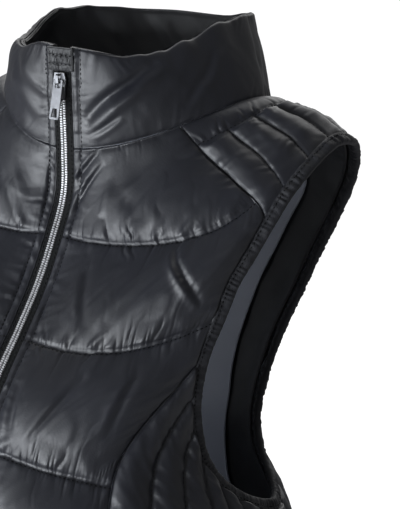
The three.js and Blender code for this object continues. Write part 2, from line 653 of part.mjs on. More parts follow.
// A plate cut from an outline in x and z, with its back face at y = 0 and its front at -thick
function plate(outline, thick) {
  const options = { depth: thick, bevelEnabled: false, curveSegments: 4 };
  const geometry = new THREE.ExtrudeGeometry(outline, options);
  return geometry.rotateX(Math.PI / 2); // the outline's y turns to z, and its depth to -y
}

const polygon = (points) => new THREE.Shape(points.map(([x, y]) => new THREE.Vector2(x, y)));

// Slider, about the tab's bar: a tapered cover over the teeth with a bridge that holds the bar
function slider() {
  const [t, b, nose] = [SLIDER.top / 2, SLIDER.bottom / 2, SLIDER.nose / 2];
  const cover = plate(polygon([[-b, -SLIDER.below], [b, -SLIDER.below], [t, 0], [nose, SLIDER.above],
    [-nose, SLIDER.above], [-t, 0]]), SLIDER.thick);
  cover.translate(0, PIVOT_LIFT - SLIDER.lift, 0);
  const inner = BRIDGE.inside / 2;
  const top = inner + BRIDGE.thick;
  const root = inner + SLIDER.thick / 2; // the feet stand this deep, inside the cover
  const { chamfer } = BRIDGE;
  const arch = polygon([[-root, -BRIDGE.below], [top - chamfer, -BRIDGE.below],
    [top, -BRIDGE.below + chamfer], [top, BRIDGE.above - chamfer], [top - chamfer, BRIDGE.above], [-root, BRIDGE.above],
    [-root, BRIDGE.above - BRIDGE.thick], [inner, BRIDGE.above - BRIDGE.thick],
    [inner, BRIDGE.thick - BRIDGE.below], [-root, BRIDGE.thick - BRIDGE.below]]);
  const bridge = new THREE.ExtrudeGeometry(arch, { depth: BRIDGE.width, bevelEnabled: false });
  // the arch's x turns to -y, its y to z, and its depth lies along x
  bridge.applyMatrix4(new THREE.Matrix4().set(
    0, 0, -1, BRIDGE.width / 2,
    -1, 0, 0, 0,
    0, 1, 0, 0,
    0, 0, 0, 1,
  ));
  return joined([cover, bridge]);
}

// Pull tab, about the middle of its bar, hanging straight down
function pullTab() {
  const { width, length, thick, bar, eyeWidth, eyeHeight, corner } = TAB;
  const [w, top, bottom] = [width / 2, bar / 2, bar / 2 - length];
  const outline = new THREE.Shape();
  outline.moveTo(-w + corner, top).lineTo(w - corner, top).quadraticCurveTo(w, top, w, top - corner);
  outline.lineTo(w, bottom + corner).quadraticCurveTo(w, bottom, w - corner, bottom);
  outline.lineTo(-w + corner, bottom).quadraticCurveTo(-w, bottom, -w, bottom + corner);
  outline.lineTo(-w, top - corner).quadraticCurveTo(-w, top, -w + corner, top);
  const hole = (halfTop, halfBottom, high, low) => new THREE.Path([[-halfTop, high], [-halfBottom, low],
    [halfBottom, low], [halfTop, high]].map(([x, y]) => new THREE.Vector2(x, y)));
  outline.holes.push(hole(eyeWidth / 2, eyeWidth / 2, -bar / 2, -bar / 2 - eyeHeight));
  const sill = bottom + TAB_WINDOW.margin;
  outline.holes.push(hole(TAB_WINDOW.top / 2, TAB_WINDOW.bottom / 2, sill + TAB_WINDOW.height, sill));
  return plate(outline, thick).translate(0, thick / 2, 0);
}

// Parts

function addPart(name, geometry, finish) {
  const mesh = new THREE.Mesh(geometry, new THREE.MeshStandardMaterial(finish));
  mesh.name = name;
  vest.add(mesh);
  return mesh;
}

const vest = new THREE.Group();
for (const [hand, right] of [['left', false], ['right', true]]) {
  addPart(`front_${hand}`, front(right), BLACK_NYLON);
  addPart(`side_${hand}`, side(right), BLACK_NYLON);
  addPart(`yoke_${hand}`, yoke(right), BLACK_NYLON);
  addPart(`armhole_binding_${hand}`, binding(right), BLACK_TRIM);
  addPart(`armhole_facing_${hand}`, facing(right), BLACK_TRIM);
}
addPart('back', back(), BLACK_NYLON);
addPart('collar', collarPart(COLLAR_COLUMNS, COLLAR_ROWS, [0, -WALL], [COLLAR_PUFF, 0]), BLACK_NYLON);
addPart('collar_inner', collarPart(COLLAR_INNER_COLUMNS, COLLAR_INNER_ROWS, COLLAR_INNER_DEPTH,
  [0, -COLLAR_INNER_PUFF]), BLACK_NYLON);
addPart('lining_back', backLining(), GREY_LINING);
addPart('zip_tape_left', zipTape(1), BLACK_TRIM);
addPart('zip_tape_right', zipTape(-1), BLACK_TRIM);
addPart('zip_chain', zipChain(), SILVER);
addPart('zip_box', zipBox(), SILVER);
addPart('zip_garage', garage(), BLACK_NYLON);

// The slider leans with the collar, and its tab hangs plumb from the bar
const seat = centreFront(-PIVOT_ABOVE_SEAM);
const pivot = seat.point.clone().addScaledVector(seat.out, PIVOT_LIFT);
const sliderMesh = addPart('zip_slider', slider(), SILVER);
sliderMesh.position.copy(pivot);
sliderMesh.rotation.x = Math.atan2(-seat.up.y, seat.up.z);
addPart('pull_tab', pullTab(), SILVER).position.copy(pivot);

export default vest;
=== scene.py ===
import bpy
import numpy as np
from mathutils import Matrix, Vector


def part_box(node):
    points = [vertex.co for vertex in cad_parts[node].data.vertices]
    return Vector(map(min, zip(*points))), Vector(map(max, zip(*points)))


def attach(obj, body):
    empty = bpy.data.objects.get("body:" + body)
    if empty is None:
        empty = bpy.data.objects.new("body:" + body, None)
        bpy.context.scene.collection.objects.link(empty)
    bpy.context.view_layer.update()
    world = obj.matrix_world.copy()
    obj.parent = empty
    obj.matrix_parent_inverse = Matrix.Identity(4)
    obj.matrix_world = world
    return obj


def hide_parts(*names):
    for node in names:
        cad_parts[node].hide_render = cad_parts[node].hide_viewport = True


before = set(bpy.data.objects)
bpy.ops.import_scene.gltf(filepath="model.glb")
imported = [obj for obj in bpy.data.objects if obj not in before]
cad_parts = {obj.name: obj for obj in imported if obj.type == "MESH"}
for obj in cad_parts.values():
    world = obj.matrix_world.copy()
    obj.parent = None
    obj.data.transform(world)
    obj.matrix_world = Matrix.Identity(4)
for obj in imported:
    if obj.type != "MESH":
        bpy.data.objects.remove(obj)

bl_info = {
    "name": "Puffer vest",
    "version": (1, 0, 0),
    "blender": (4, 5, 0),
    "location": "View3D > Sidebar > Vest",
    "description": "Dresses the packed puffer vest in quilted nylon, lining, binding and zip",
    "category": "Add Mesh",
}

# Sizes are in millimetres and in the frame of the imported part: +Z up, the garment faces -Y,
# and the wearer's left side is +X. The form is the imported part's own, worked out more finely.
MM = 0.001
SEAM_GAP = 0.3
SEAM_ANGLE = 0.09  # half the gap between panels at an upright seam, in degrees
WALL = 3.0
COLLAR_HEIGHT = 66.0
CENTRE_LENGTH = 575.0
PLACKET = 6.9  # the fronts' edges bow in over the tapes a little
YOKE_NECK_ANGLE = 46.0
PRINCESS_ANGLE = 58.0
PRINCESS_SWING = 70.0
YOKE_BAND = 19.0
FACING_WIDTH = 48.0
FACING_SWELL = {"place": 16.8, "within": 2.6, "more": 26.0}  # wider under the arm, at the back
FACING_DEPTH = (-4.3, -5.1)
LINING_DEPTH = (-6.5, -7.3)
LINING_TOP = 8.0

# Levels of the body without its puffs. down is measured down the centre front from the neck seam,
# and angles run from -90 at the centre front over 0 at the side to 90 at the centre back.
LEVEL = ("down", "half_width", "side_y", "front_y", "back_y", "front_square", "back_square",
         "front_z", "side_z", "back_z")
BODY = np.array([
    [0, 99, 6, -76, 63, 2.2, 2.1, -46, 3, -14],
    [28, 123, 1, -70, 80, 2.2, 2.1, -74, -1.5, -40],
    [60, 150, 3, -77, 90, 2.4, 2.2, -105, -8.5, -72],
    [92, 169, 6, -88, 95, 2.5, 2.1, -135, -28, -105],
    [125, 158, 4, -103, 98, 2.5, 2.0, -163, -85, -140],
    [160, 136.5, -5, -121, 98, 2.5, 1.9, -193, -155, -178],
    [200, 128, -8, -138, 98, 2.5, 1.8, -229, -218, -222],
    [245, 154.5, -8, -147, 100, 2.4, 2.0, -273, -272, -268],
    [330, 170, -6, -141, 102, 2.3, 2.3, -357, -357, -352],
    [420, 168, -5, -132, 100, 2.3, 2.4, -447, -447, -442],
    [CENTRE_LENGTH, 194, -5, -138, 118, 2.3, 2.4, -600, -600, -598],
])
# The collar's rim: its height at each angle round it, and its plan
RIM_HEIGHT = np.array([
    [-90, 18], [-62, 17], [-52, 20], [-43, 24], [-32, 33], [-14, 49], [0, 57], [15, 60], [38, 61],
    [60, 59], [92, 60], [126, 58], [147, 56], [167, 51], [181, 42], [190, 30], [205, 21], [234, 17],
    [252, 20], [270, 18],
])
RIM_PLAN = {"half_width": 82.0, "side_y": 1.0, "front_y": -96.0, "back_y": 62.0,
            "front_square": 1.6, "back_square": 2.0}
RIM_LEAN = 3.0
# Where the collar rolls outwards on the wearer's right, by how much at the rim, and how far round
ROLL = {"angle": 208.0, "within": 32.0, "out": 6.5}
# How the wearer's right shoulder has settled: how far it has moved, within what distance of the
# middle that starts, and between which heights and distances it grows to the full amount
SETTLE = {"inwards": 12.0, "within": 60.0, "low": -130.0, "high": -30.0, "down": 6.0,
          "near": 85.0, "far": 130.0}
COLLAR_FLATTEST = 0.15
# The left armhole's edge as down and angle, clockwise seen from outside
ARMHOLE = np.array([
    [73, 0], [72, -12], [75, -24], [83, -34], [95, -39], [110, -41], [125, -41.5], [142, -39],
    [160, -36.3], [178, -32.5], [195, -28], [211, -24], [223, -19], [231, -12], [236, -2],
    [236, 8], [230, 17], [214, 26], [192, 32], [165, 37], [142, 39.5], [120, 40], [100, 36],
    [86, 29], [76, 20], [72, 10],
])
YOKE_CORNER = 4
PRINCESS_CORNER = 8
BACK_PRINCESS_CORNER = 19
BACK_YOKE_CORNER = 22
# Stitch lines across a front and a half of the back: where each starts at the centre, where it
# ends at the outer seam, how far it dips between them, and how the dip leans
FRONT_LINES = np.array([
    [0, 0, 0, 1], [57, 80, 9, 2], [132, 140, 8, 1], [207, 220, 1, 1], [282, 291, 3, 1],
    [357, 364, 3, 1], [432, 437, 3, 1], [505, 508, 2, 1], [CENTRE_LENGTH, CENTRE_LENGTH, 0, 1],
])
BACK_LINES = np.array([
    [0, 0, 0, 1], [66, 84, 3, 1], [138, 148, 3, 1], [210, 216, 2, 1], [282, 290, 2, 1],
    [357, 363, 2, 1], [432, 437, 2, 1], [505, 508, 2, 1], [CENTRE_LENGTH, CENTRE_LENGTH, 0, 1],
])
LINING_EDGE = np.array([[0, 42], [70, 46], [90, 55], [105, 58], [120, 60], [150, 59], [172, 56.5],
                        [190, 53], [205, 54], [222, 57.5], [240, 60], [275, 48], [330, 34],
                        [CENTRE_LENGTH, 30]])
SIDE_CHANNELS = 12
YOKE_CHANNELS = 8

# Zip
PIVOT_ABOVE_SEAM = 45.0
SLIDER_BELOW = 12.5
TEETH_END = 561.2
TEETH_PITCH = 1.6
TAPE_EDGES = (2.2, 6.7)
TAPE_LIFT = (-0.4, -1.8)
GARAGE = {"half_width": 9.5, "foot": 50.5, "top": 65.5, "lift": 0.4, "thick": 1.8, "puckers": 6,
          "stitches": (0.3, 0.68)}

# The camera that fits the photograph: degrees, pixels of a 400 x 509 picture, and millimetres
CAMERA = {"azimuth": 27.5, "elevation": 3.5, "roll": 7.3, "focal_px": 1825.0, "distance": 1250.0,
          "right": 46.8, "up": -114.5}
PICTURE_HEIGHT = 509.0
SENSOR = 36.0
FLOOR = -0.6015  # height of the paper in metres, a millimetre under the hem


# Curves and tables

def mix(a, b, t):
    """A straight blend from a to b."""
    return a + (b - a) * t


def smooth_step(low, high, x):
    """0 below low, 1 above high, and 3t^2 - 2t^3 between them."""
    t = np.clip((x - low) / (high - low), 0, 1)
    return t * t * (3 - 2 * t)


def smooth_rows(table, x):
    """Every column of a table at x, on cubic Hermite runs between its rows. Inner slopes are the
    mean of the runs beside them, each weighted by the other's length."""
    key, values = table[:, 0], table[:, 1:]
    run = np.diff(key)[:, None]
    slope = np.diff(values, axis=0) / run
    tangent = np.empty_like(values)
    tangent[0], tangent[-1] = slope[0], slope[-1]
    tangent[1:-1] = (slope[:-1] * run[1:] + slope[1:] * run[:-1]) / (run[:-1] + run[1:])
    x = np.asarray(x, float)
    i = np.clip(np.searchsorted(key, x, side="right") - 1, 0, len(key) - 2)
    h = (key[i + 1] - key[i])[..., None]
    t = (x[..., None] - key[i][..., None]) / h
    t2, t3 = t * t, t * t * t
    return ((2 * t3 - 3 * t2 + 1) * values[i] + (t3 - 2 * t2 + t) * h * tangent[i]
            + (3 * t2 - 2 * t3) * values[i + 1] + (t3 - t2) * h * tangent[i + 1])


def body_level(down):
    """The level table's columns at a distance down the centre front, by name."""
    row = smooth_rows(BODY, down)
    return {name: row[..., c] for c, name in enumerate(LEVEL[1:])}


def plan_point(level, angle):
    """A point of a level's plan: quarters of a superellipse |c|^n + |s|^n = 1."""
    turn = np.radians(angle)
    c, s = np.cos(turn), np.sin(turn)
    ahead = s < 0
    power = np.where(ahead, level["front_square"], level["back_square"])
    reach = np.where(ahead, level["side_y"] - level["front_y"], level["back_y"] - level["side_y"])
    scale = (np.abs(c) ** power + np.abs(s) ** power) ** (-1 / power)
    return level["half_width"] * c * scale, level["side_y"] + reach * s * scale, s * s


def body_point(down, angle):
    """The body's form: x and y from the level's plan, z from the side's to the end's by sin^2."""
    down, angle = np.broadcast_arrays(np.asarray(down, float), np.asarray(angle, float))
    level = body_level(down)
    x, y, turn = plan_point(level, angle)
    end = np.where(np.sin(np.radians(angle)) < 0, level["front_z"], level["back_z"])
    return np.stack([x, y, mix(level["side_z"], end, turn)], -1)


def collar_point(up, angle):
    """The collar's form: a straight run from the neck seam (up 0) to the rim (up 1)."""
    up, angle = np.broadcast_arrays(np.asarray(up, float), np.asarray(angle, float))
    x, y, turn = plan_point({k: np.full(angle.shape, v) for k, v in RIM_PLAN.items()}, angle)
    rim = np.stack([x - RIM_LEAN * (1 - turn), y, smooth_rows(RIM_HEIGHT, angle)[..., 0]], -1)
    return mix(body_point(0, angle), rim, up[..., None])


def unit(v):
    """Vectors scaled to length 1."""
    return v / np.maximum(np.linalg.norm(v, axis=-1, keepdims=True), 1e-9)


def outward(form, a, b, step_a, step_b):
    """The form's outward direction: its slope along a crossed with its slope round the body."""
    along_a = form(a + step_a, b) - form(a - step_a, b)
    along_b = form(a, b + step_b) - form(a, b - step_b)
    return unit(np.cross(along_a, along_b))


def on_body(down, angle, lift):
    """Points that stand off the body's form by lift."""
    normal = outward(body_point, np.maximum(down, 0.6), angle, 0.5, 0.2)
    return body_point(down, angle) + normal * np.asarray(lift)[..., None]


def on_collar(up, angle, lift):
    """Points that stand off the collar's form by lift, and by the roll of its slumped side: a bell
    curve round the collar that grows towards the rim."""
    bell = np.exp(-((angle - ROLL["angle"]) / ROLL["within"]) ** 2)
    roll = ROLL["out"] * bell * smooth_step(0.1, 0.9, up)
    normal = outward(collar_point, up, np.clip(angle, -89.7, 269.7), -0.01, 0.2)
    return collar_point(up, angle) + normal * (lift + roll)[..., None]


def settled(points):
    """The wearer's right shoulder moved inwards and down, more towards its tip and its top."""
    p, x = SETTLE, points[..., 0]
    share = smooth_step(p["low"], p["high"], points[..., 2]) * (x < 0)
    inwards = p["inwards"] * share * (1 - np.exp(-((x / p["within"]) ** 2)))
    down = p["down"] * share * smooth_step(p["near"], p["far"], -x)
    return points + np.stack([inwards, np.zeros_like(x), -down], -1)


def armhole(place):
    """Catmull-Rom curve through the armhole's rows, at a place counted in rows: down and angle."""
    place = np.asarray(place, float)
    k = np.floor(place).astype(int)
    t = (place - k)[..., None]
    p, q, r, s = (ARMHOLE[(k + n) % len(ARMHOLE)] for n in (-1, 0, 1, 2))
    return 0.5 * (2 * q + (r - p) * t + (2 * p - 5 * q + 4 * r - s) * t ** 2
                  + (3 * q - p - 3 * r + s) * t ** 3)


def edge_angle(down, ahead):
    """The outer edge of a front or the back at a level: yoke seam, armhole, then princess seam."""
    yoke, princess = (YOKE_CORNER, PRINCESS_CORNER) if ahead else (BACK_YOKE_CORNER,
                                                                   BACK_PRINCESS_CORNER)
    (upper, upper_angle), (lower, lower_angle) = ARMHOLE[yoke], ARMHOLE[princess]
    side = np.sign(upper_angle)
    on_yoke = mix(side * YOKE_NECK_ANGLE, upper_angle, np.clip(down / upper, 0, 1) ** 2)
    run = armhole(np.linspace(yoke, princess, 200))
    run = run[np.argsort(run[:, 0])]
    on_hole = np.interp(down, run[:, 0], run[:, 1])
    on_princess = mix(lower_angle, side * PRINCESS_ANGLE,
                      np.tanh(np.maximum(down - lower, 0) / PRINCESS_SWING))
    return np.where(down <= upper, on_yoke, np.where(down < lower, on_hole, on_princess))


def lines_at(lines, phase):
    """The columns of a table of stitch lines at a phase, straight between whole numbers."""
    whole = np.arange(len(lines))
    return [np.interp(phase, whole, lines[:, c]) for c in range(4)]


def angle_at(distance, half_width, end):
    """The angle at which the plan is this far to the left of the centre front or back."""
    return end * (90 - np.degrees(np.arcsin(distance / half_width)))


def swell(channel, sag=1.2):
    """A channel's puff: 0 on a stitch line and 1 at its fullest, which hangs a little low."""
    return np.abs(np.sin(np.pi * (channel % 1) ** sag)) ** 0.7


def fade(share, power=0.5):
    """A power of a half sine: 0 at both ends of a run and 1 in its middle."""
    return np.maximum(np.sin(np.pi * np.clip(share, 0, 1)), 0) ** power


def noise(seed, x, y):
    """Smooth value noise: seeded heights from -1 to 1 on a lattice, blended by a quintic step."""
    size = 128
    heights = np.random.default_rng(seed).uniform(-1, 1, (size, size))
    x, y = np.broadcast_arrays(np.asarray(x, float), np.asarray(y, float))
    i, j = np.floor(x).astype(int), np.floor(y).astype(int)
    blend = [f ** 3 * (f * (f * 6 - 15) + 10) for f in (x - i, y - j)]
    at = lambda a, b: heights[(i + a) % size, (j + b) % size]
    return mix(mix(at(0, 0), at(1, 0), blend[0]), mix(at(0, 1), at(1, 1), blend[0]), blend[1])


def lengths(points, axis):
    """Distance along a grid's lines, from the first row or column."""
    step = np.linalg.norm(np.diff(points, axis=axis), axis=-1)
    start = np.zeros_like(np.take(step, [0], axis=axis))
    return np.concatenate([start, np.cumsum(step, axis=axis)], axis=axis)


# Folds

def puckers(seed, along, away, spacing=4.4, reach=11.0):
    """Gathers at a seam: folded noise, with round ridges and sharp valleys between them, close-set
    along the seam and long away from it. It rises within a millimetre and dies out within a reach
    that differs from gather to gather."""
    wander = along / spacing + 0.8 * noise(seed + 1, along / 16, away / 14)
    height = 2.2 * np.abs(noise(seed, wander, away / 30)) - 0.6
    length = reach * (1.15 + 0.95 * noise(seed + 2, along / 7, 0.5))
    return height * np.exp(-np.maximum(away, 0) / length) * smooth_step(0, 1.6, away)


def groove(from_one, from_other, depth=0.8, width=1.5):
    """The narrow valley that a seam pulls in, as a bell curve of the distance from the nearer of
    two stitch lines."""
    return depth * np.exp(-(np.minimum(from_one, from_other) / width) ** 2)


def folds(seed, along, across, size=26.0, slant=0.5):
    """Soft rolls of slack cloth: noise sheared by a slant, longer across the channel than along."""
    sheared = along + slant * across
    return noise(seed, sheared / size, across / (size * 1.9)) \
        + 0.5 * noise(seed + 3, sheared / (size * 0.45), across / (size * 1.1))


def crease(along, across, start, end, width, depth, bow=0.0):
    """A listed crease: a trough along a bowed line from start to end, with a soft ridge
    on one side of it, both dying out at the ends."""
    (a0, c0), (a1, c1) = start, end
    run = np.hypot(a1 - a0, c1 - c0)
    ta, tc = (a1 - a0) / run, (c1 - c0) / run
    t = ((along - a0) * ta + (across - c0) * tc) / run
    off = (across - c0) * ta - (along - a0) * tc - bow * 4 * t * (1 - t)
    ends = fade(t, 0.6) * (t > 0) * (t < 1)
    trough = np.exp(-(off / width) ** 2)
    ridge = 0.7 * np.exp(-((off - 1.9 * width) / (1.2 * width)) ** 2)
    return depth * ends * (ridge - trough)


# Meshes

def linked(name, data):
    """A new object with that data, in the scene."""
    obj = bpy.data.objects.new(name, data)
    bpy.context.scene.collection.objects.link(obj)
    return obj


def finish_mesh(name, points, faces, finishes, body="vest", indices=None, smooth=True):
    """An object from points in millimetres and a list of arrays of faces, all faces of an array
    with the same number of corners. indices gives the finish of each array of faces."""
    points = settled(np.asarray(points, float)) * MM
    faces = [np.asarray(f, np.int32) for f in faces if len(f)]
    mesh = bpy.data.meshes.new(name)
    mesh.vertices.add(len(points))
    mesh.vertices.foreach_set("co", points.ravel())
    totals = np.concatenate([np.full(len(f), f.shape[1]) for f in faces])
    corners = np.concatenate([f.ravel() for f in faces])
    mesh.loops.add(len(corners))
    mesh.loops.foreach_set("vertex_index", corners)
    mesh.polygons.add(len(totals))
    mesh.polygons.foreach_set("loop_start", np.concatenate([[0], np.cumsum(totals)[:-1]]))
    mesh.polygons.foreach_set("use_smooth", np.full(len(totals), smooth))
    if indices is not None:
        each = np.concatenate([np.full(len(f), i) for f, i in zip(faces, indices)])
        mesh.polygons.foreach_set("material_index", each.astype(np.int32))
    for finish in finishes:
        mesh.materials.append(finish)
    mesh.update(calc_edges=True)
    mesh.validate()
    obj = linked(name, mesh)
    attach(obj, body)
    return obj


def quads(ids):
    """The quads of a grid of vertex numbers."""
    return np.stack([ids[:-1, :-1], ids[:-1, 1:], ids[1:, 1:], ids[1:, :-1]], -1).reshape(-1, 4)


def edge_strips(fine, coarse, step):
    """Many-cornered faces that join a fine border to a coarse one with every step-th point."""
    count = len(coarse) - 1
    starts = np.arange(count) * step
    run = fine[starts[:, None] + np.arange(step + 1)]
    return np.concatenate([run, coarse[1:, None], coarse[:-1, None]], 1)


def wall(outer, inner, step):
    """Points and faces of a closed wall: a fine outer grid, an inner grid of every step-th point,
    and the four edges between them. The faces are outer, inner, and edges."""
    rows, columns = outer.shape[:2]
    points = np.concatenate([outer.reshape(-1, 3), inner.reshape(-1, 3)])
    a = np.arange(rows * columns).reshape(rows, columns)
    b = rows * columns + np.arange(inner.shape[0] * inner.shape[1]).reshape(inner.shape[:2])
    out, back = quads(a), quads(b)[:, ::-1]
    edges = [edge_strips(a[0, ::-1], b[0, ::-1], step), edge_strips(a[-1], b[-1], step),
             edge_strips(a[:, 0], b[:, 0], step), edge_strips(a[::-1, -1], b[::-1, -1], step)]
    return points, [out, back, np.concatenate(edges)[:, ::-1]]


def right_way_out(points, faces):
    """Faces turned so that the closed surface has a positive volume."""
    volume = 0.0
    for f in faces:
        origin = points[f[:, 0]]
        for k in range(1, f.shape[1] - 1):
            volume += np.sum(origin * np.cross(points[f[:, k]], points[f[:, k + 1]]))
    return faces if volume > 0 else [f[:, ::-1] for f in faces]


def mirrored(points):
    """The same points on the wearer's right."""
    return points * np.array([-1.0, 1.0, 1.0])


def side_of(hand):
    """The wearer's side: left for 1 and right for -1."""
    return "left" if hand > 0 else "right"


def wall_object(name, outer, inner, step, finishes, hand=1, indices=(0, 0, 0)):
    """A closed wall as an object, mirrored to the wearer's right where hand is -1."""
    points, faces = wall(outer, inner, step)
    if hand < 0:
        points = mirrored(points)
    return finish_mesh(name, points, right_way_out(points, faces), finishes, indices=indices)


def tube(section, closed):
    """Points and faces of a tube from rings of points: closed to a loop, or with flat ends."""
    steps, sides = section.shape[:2]
    ids = np.arange(steps * sides).reshape(steps, sides)
    ids = np.concatenate([ids, ids[:, :1]], 1)
    if closed:
        ids = np.concatenate([ids, ids[:1]], 0)
    faces = [quads(ids)]
    if not closed:
        faces += [ids[:1, :-1], ids[-1:, :-1][:, ::-1]]
    return section.reshape(-1, 3), faces


def tube_object(name, section, closed, finishes):
    """A tube as an object."""
    points, faces = tube(section, closed)
    return finish_mesh(name, points, right_way_out(points, faces), finishes)


def surface_area(grid):
    """Area of a grid in square metres: half the crossed diagonals of its quads."""
    cross = np.cross(grid[1:, 1:] - grid[:-1, :-1], grid[1:, :-1] - grid[:-1, 1:])
    return 0.5 * np.linalg.norm(cross, axis=-1).sum() * MM * MM


# Stitches

STITCH = {"length": 2.4, "pitch": 3.0, "width": 0.5}


def stitch_points(path, normal):
    """Corners of the stitches along a path: each is a long six-cornered bead, pointed at both
    ends, with its widest ring in the middle and its back in the cloth."""
    s = lengths(path, 0)
    count = max(int(s[-1] / STITCH["pitch"]), 1)
    middle = (np.arange(count) + 0.5) * s[-1] / count
    at = lambda where, values: np.stack([np.interp(where, s, values[:, c]) for c in range(3)], -1)
    half = STITCH["length"] / 2
    head, tail, centre = (at(middle + d, path) for d in (half, -half, 0))
    up = unit(at(middle, normal))
    side = unit(np.cross(head - tail, up))
    w = STITCH["width"]
    ring = [centre + side * w, centre + up * (w * 1.2), centre - side * w, centre - up * w]
    return np.stack([tail] + ring + [head], 1)


STITCH_FACES = np.array([[0, 2, 1], [0, 3, 2], [0, 4, 3], [0, 1, 4],
                         [5, 1, 2], [5, 2, 3], [5, 3, 4], [5, 4, 1]])


def sew(name, paths, finish, hand=1):
    """One mesh of stitches along several paths, each a pair of points and outward directions."""
    beads = np.concatenate([stitch_points(path, normal) for path, normal in paths])
    faces = (np.arange(len(beads))[:, None, None] * 6 + STITCH_FACES).reshape(-1, 3)
    points = beads.reshape(-1, 3)
    if hand < 0:
        points, faces = mirrored(points), faces[:, ::-1]
    obj = finish_mesh(name, points, [faces], [finish])
    return obj


def grid_normals(grid):
    """Outward directions of a grid whose rows run down and columns round the body."""
    return unit(np.cross(np.gradient(grid, axis=0), np.gradient(grid, axis=1)))


# Materials

def linear(code):
    """An sRGB hex value as linear red, green, blue and alpha."""
    srgb = np.array([int(code[k:k + 2], 16) / 255 for k in (1, 3, 5)])
    value = np.where(srgb <= 0.04045, srgb / 12.92, ((srgb + 0.055) / 1.055) ** 2.4)
    return tuple(float(v) for v in value) + (1.0,)


def add(tree, kind, inputs=None, **settings):
    """Adds a node: settings are its properties, inputs its values or the sockets that feed them."""
    made = tree.nodes.new(kind)
    for key, value in settings.items():
        setattr(made, key, value)
    for key, value in (inputs or {}).items():
        if isinstance(value, bpy.types.NodeSocket):
            tree.links.new(value, made.inputs[key])
        else:
            made.inputs[key].default_value = value
    return made


def new_material(name, constants):
    """A material with its shader's constants: its tree, its shader and its Object coordinates."""
    material = bpy.data.materials.new(name)
    material.use_nodes = True
    tree = material.node_tree
    tree.nodes.clear()
    shader = add(tree, "ShaderNodeBsdfPrincipled", constants)
    add(tree, "ShaderNodeOutputMaterial", {"Surface": shader.outputs["BSDF"]})
    coordinates = add(tree, "ShaderNodeTexCoord").outputs["Object"]
    return material, tree, shader, coordinates


def patches(tree, where, scale, detail, distortion=0.0):
    """Noise in patches of 1 / scale metres, as a socket."""
    return add(tree, "ShaderNodeTexNoise", {"Vector": where, "Scale": scale, "Detail": detail,
                                            "Distortion": distortion}).outputs["Fac"]


def mottled(tree, where, colour, spread, scale):
    """A colour that wanders up and down by a share of itself, in patches of 1 / scale metres."""
    ramp = add(tree, "ShaderNodeValToRGB", {"Fac": patches(tree, where, scale, 3.0)})
    for end, share, place in zip(ramp.color_ramp.elements, (1 - spread, 1 + spread), (0.3, 0.7)):
        end.color, end.position = [c * share for c in tuple(colour)[:3]] + [1.0], place
    return ramp.outputs["Color"]


def bumped(tree, height, distance, strength, under=None):
    """A bump from a height socket, on top of another bump where one is given."""
    inputs = {"Height": height, "Distance": distance, "Strength": strength}
    if under is not None:
        inputs["Normal"] = under
    return add(tree, "ShaderNodeBump", inputs).outputs["Normal"]


def plain_weave(tree, where, pitch):
    """Height of a plain weave: the greater of two crossed sine bands, a thread every pitch metres.
    The bands run along two slanted directions, so that no face of the garment shows only one."""
    bands = []
    for turn in ((0.0, 0.62, 0.0), (0.0, 0.62, 1.5708)):
        turned = add(tree, "ShaderNodeMapping", {"Vector": where, "Rotation": turn})
        wave = add(tree, "ShaderNodeTexWave", {"Vector": turned.outputs["Vector"],
                                               "Scale": 0.314159 / pitch, "Distortion": 0.4})
        bands.append(wave.outputs["Fac"])
    top = add(tree, "ShaderNodeMath", {0: bands[0], 1: bands[1]}, operation="MAXIMUM")
    return top.outputs["Value"]


def down_proof_nylon(name, colour, roughness):
    """Calendered nylon taffeta, the shell of a down vest: rolled hot, so its flat threads give a
    broad satin gloss, and its thin cloth shows every small ripple."""
    material, tree, shader, where = new_material(
        name, {"Specular IOR Level": 0.56, "IOR": 1.53, "Sheen Weight": 0.02})
    tree.links.new(mottled(tree, where, colour, 0.25, 14.0), shader.inputs["Base Color"])
    gloss = add(tree, "ShaderNodeMapRange", {
        "Value": patches(tree, where, 60.0, 4.0), "From Min": 0.3, "From Max": 0.7,
        "To Min": roughness - 0.05, "To Max": roughness + 0.06})
    tree.links.new(gloss.outputs["Result"], shader.inputs["Roughness"])
    # Ripples a few millimetres long, then threads drawn at 0.55 mm, which is as fine as can show
    under = bumped(tree, patches(tree, where, 150.0, 3.0, 0.6), 0.0005, 0.16)
    under = bumped(tree, patches(tree, where, 850.0, 2.0), 0.0001, 0.55, under)
    normal = bumped(tree, plain_weave(tree, where, 0.00055), 0.00005, 0.3, under)
    tree.links.new(normal, shader.inputs["Normal"])
    return material


def lining_taffeta(name, colour):
    """Polyester lining taffeta: thin, smooth and slate grey, with a low gloss and faint ripples."""
    material, tree, shader, where = new_material(
        name, {"Roughness": 0.5, "Specular IOR Level": 0.45, "Sheen Weight": 0.03})
    tree.links.new(mottled(tree, where, colour, 0.1, 9.0), shader.inputs["Base Color"])
    under = bumped(tree, patches(tree, where, 55.0, 4.0), 0.0012, 0.4)
    tree.links.new(bumped(tree, plain_weave(tree, where, 0.0006), 0.00006, 0.3, under),
                   shader.inputs["Normal"])
    return material


def elastic_knit(name, colour, specular=0.4):
    """Ribbed elastic trim: matt black, with fine ribs 0.8 mm apart that gather the cloth's edge."""
    material, tree, shader, where = new_material(
        name, {"Roughness": 0.68, "Specular IOR Level": specular, "Sheen Weight": 0.03})
    tree.links.new(mottled(tree, where, colour, 0.25, 40.0), shader.inputs["Base Color"])
    under = bumped(tree, patches(tree, where, 700.0, 2.0), 0.0003, 0.5)
    tree.links.new(bumped(tree, plain_weave(tree, where, 0.0008), 0.00015, 0.5, under),
                   shader.inputs["Normal"])
    return material


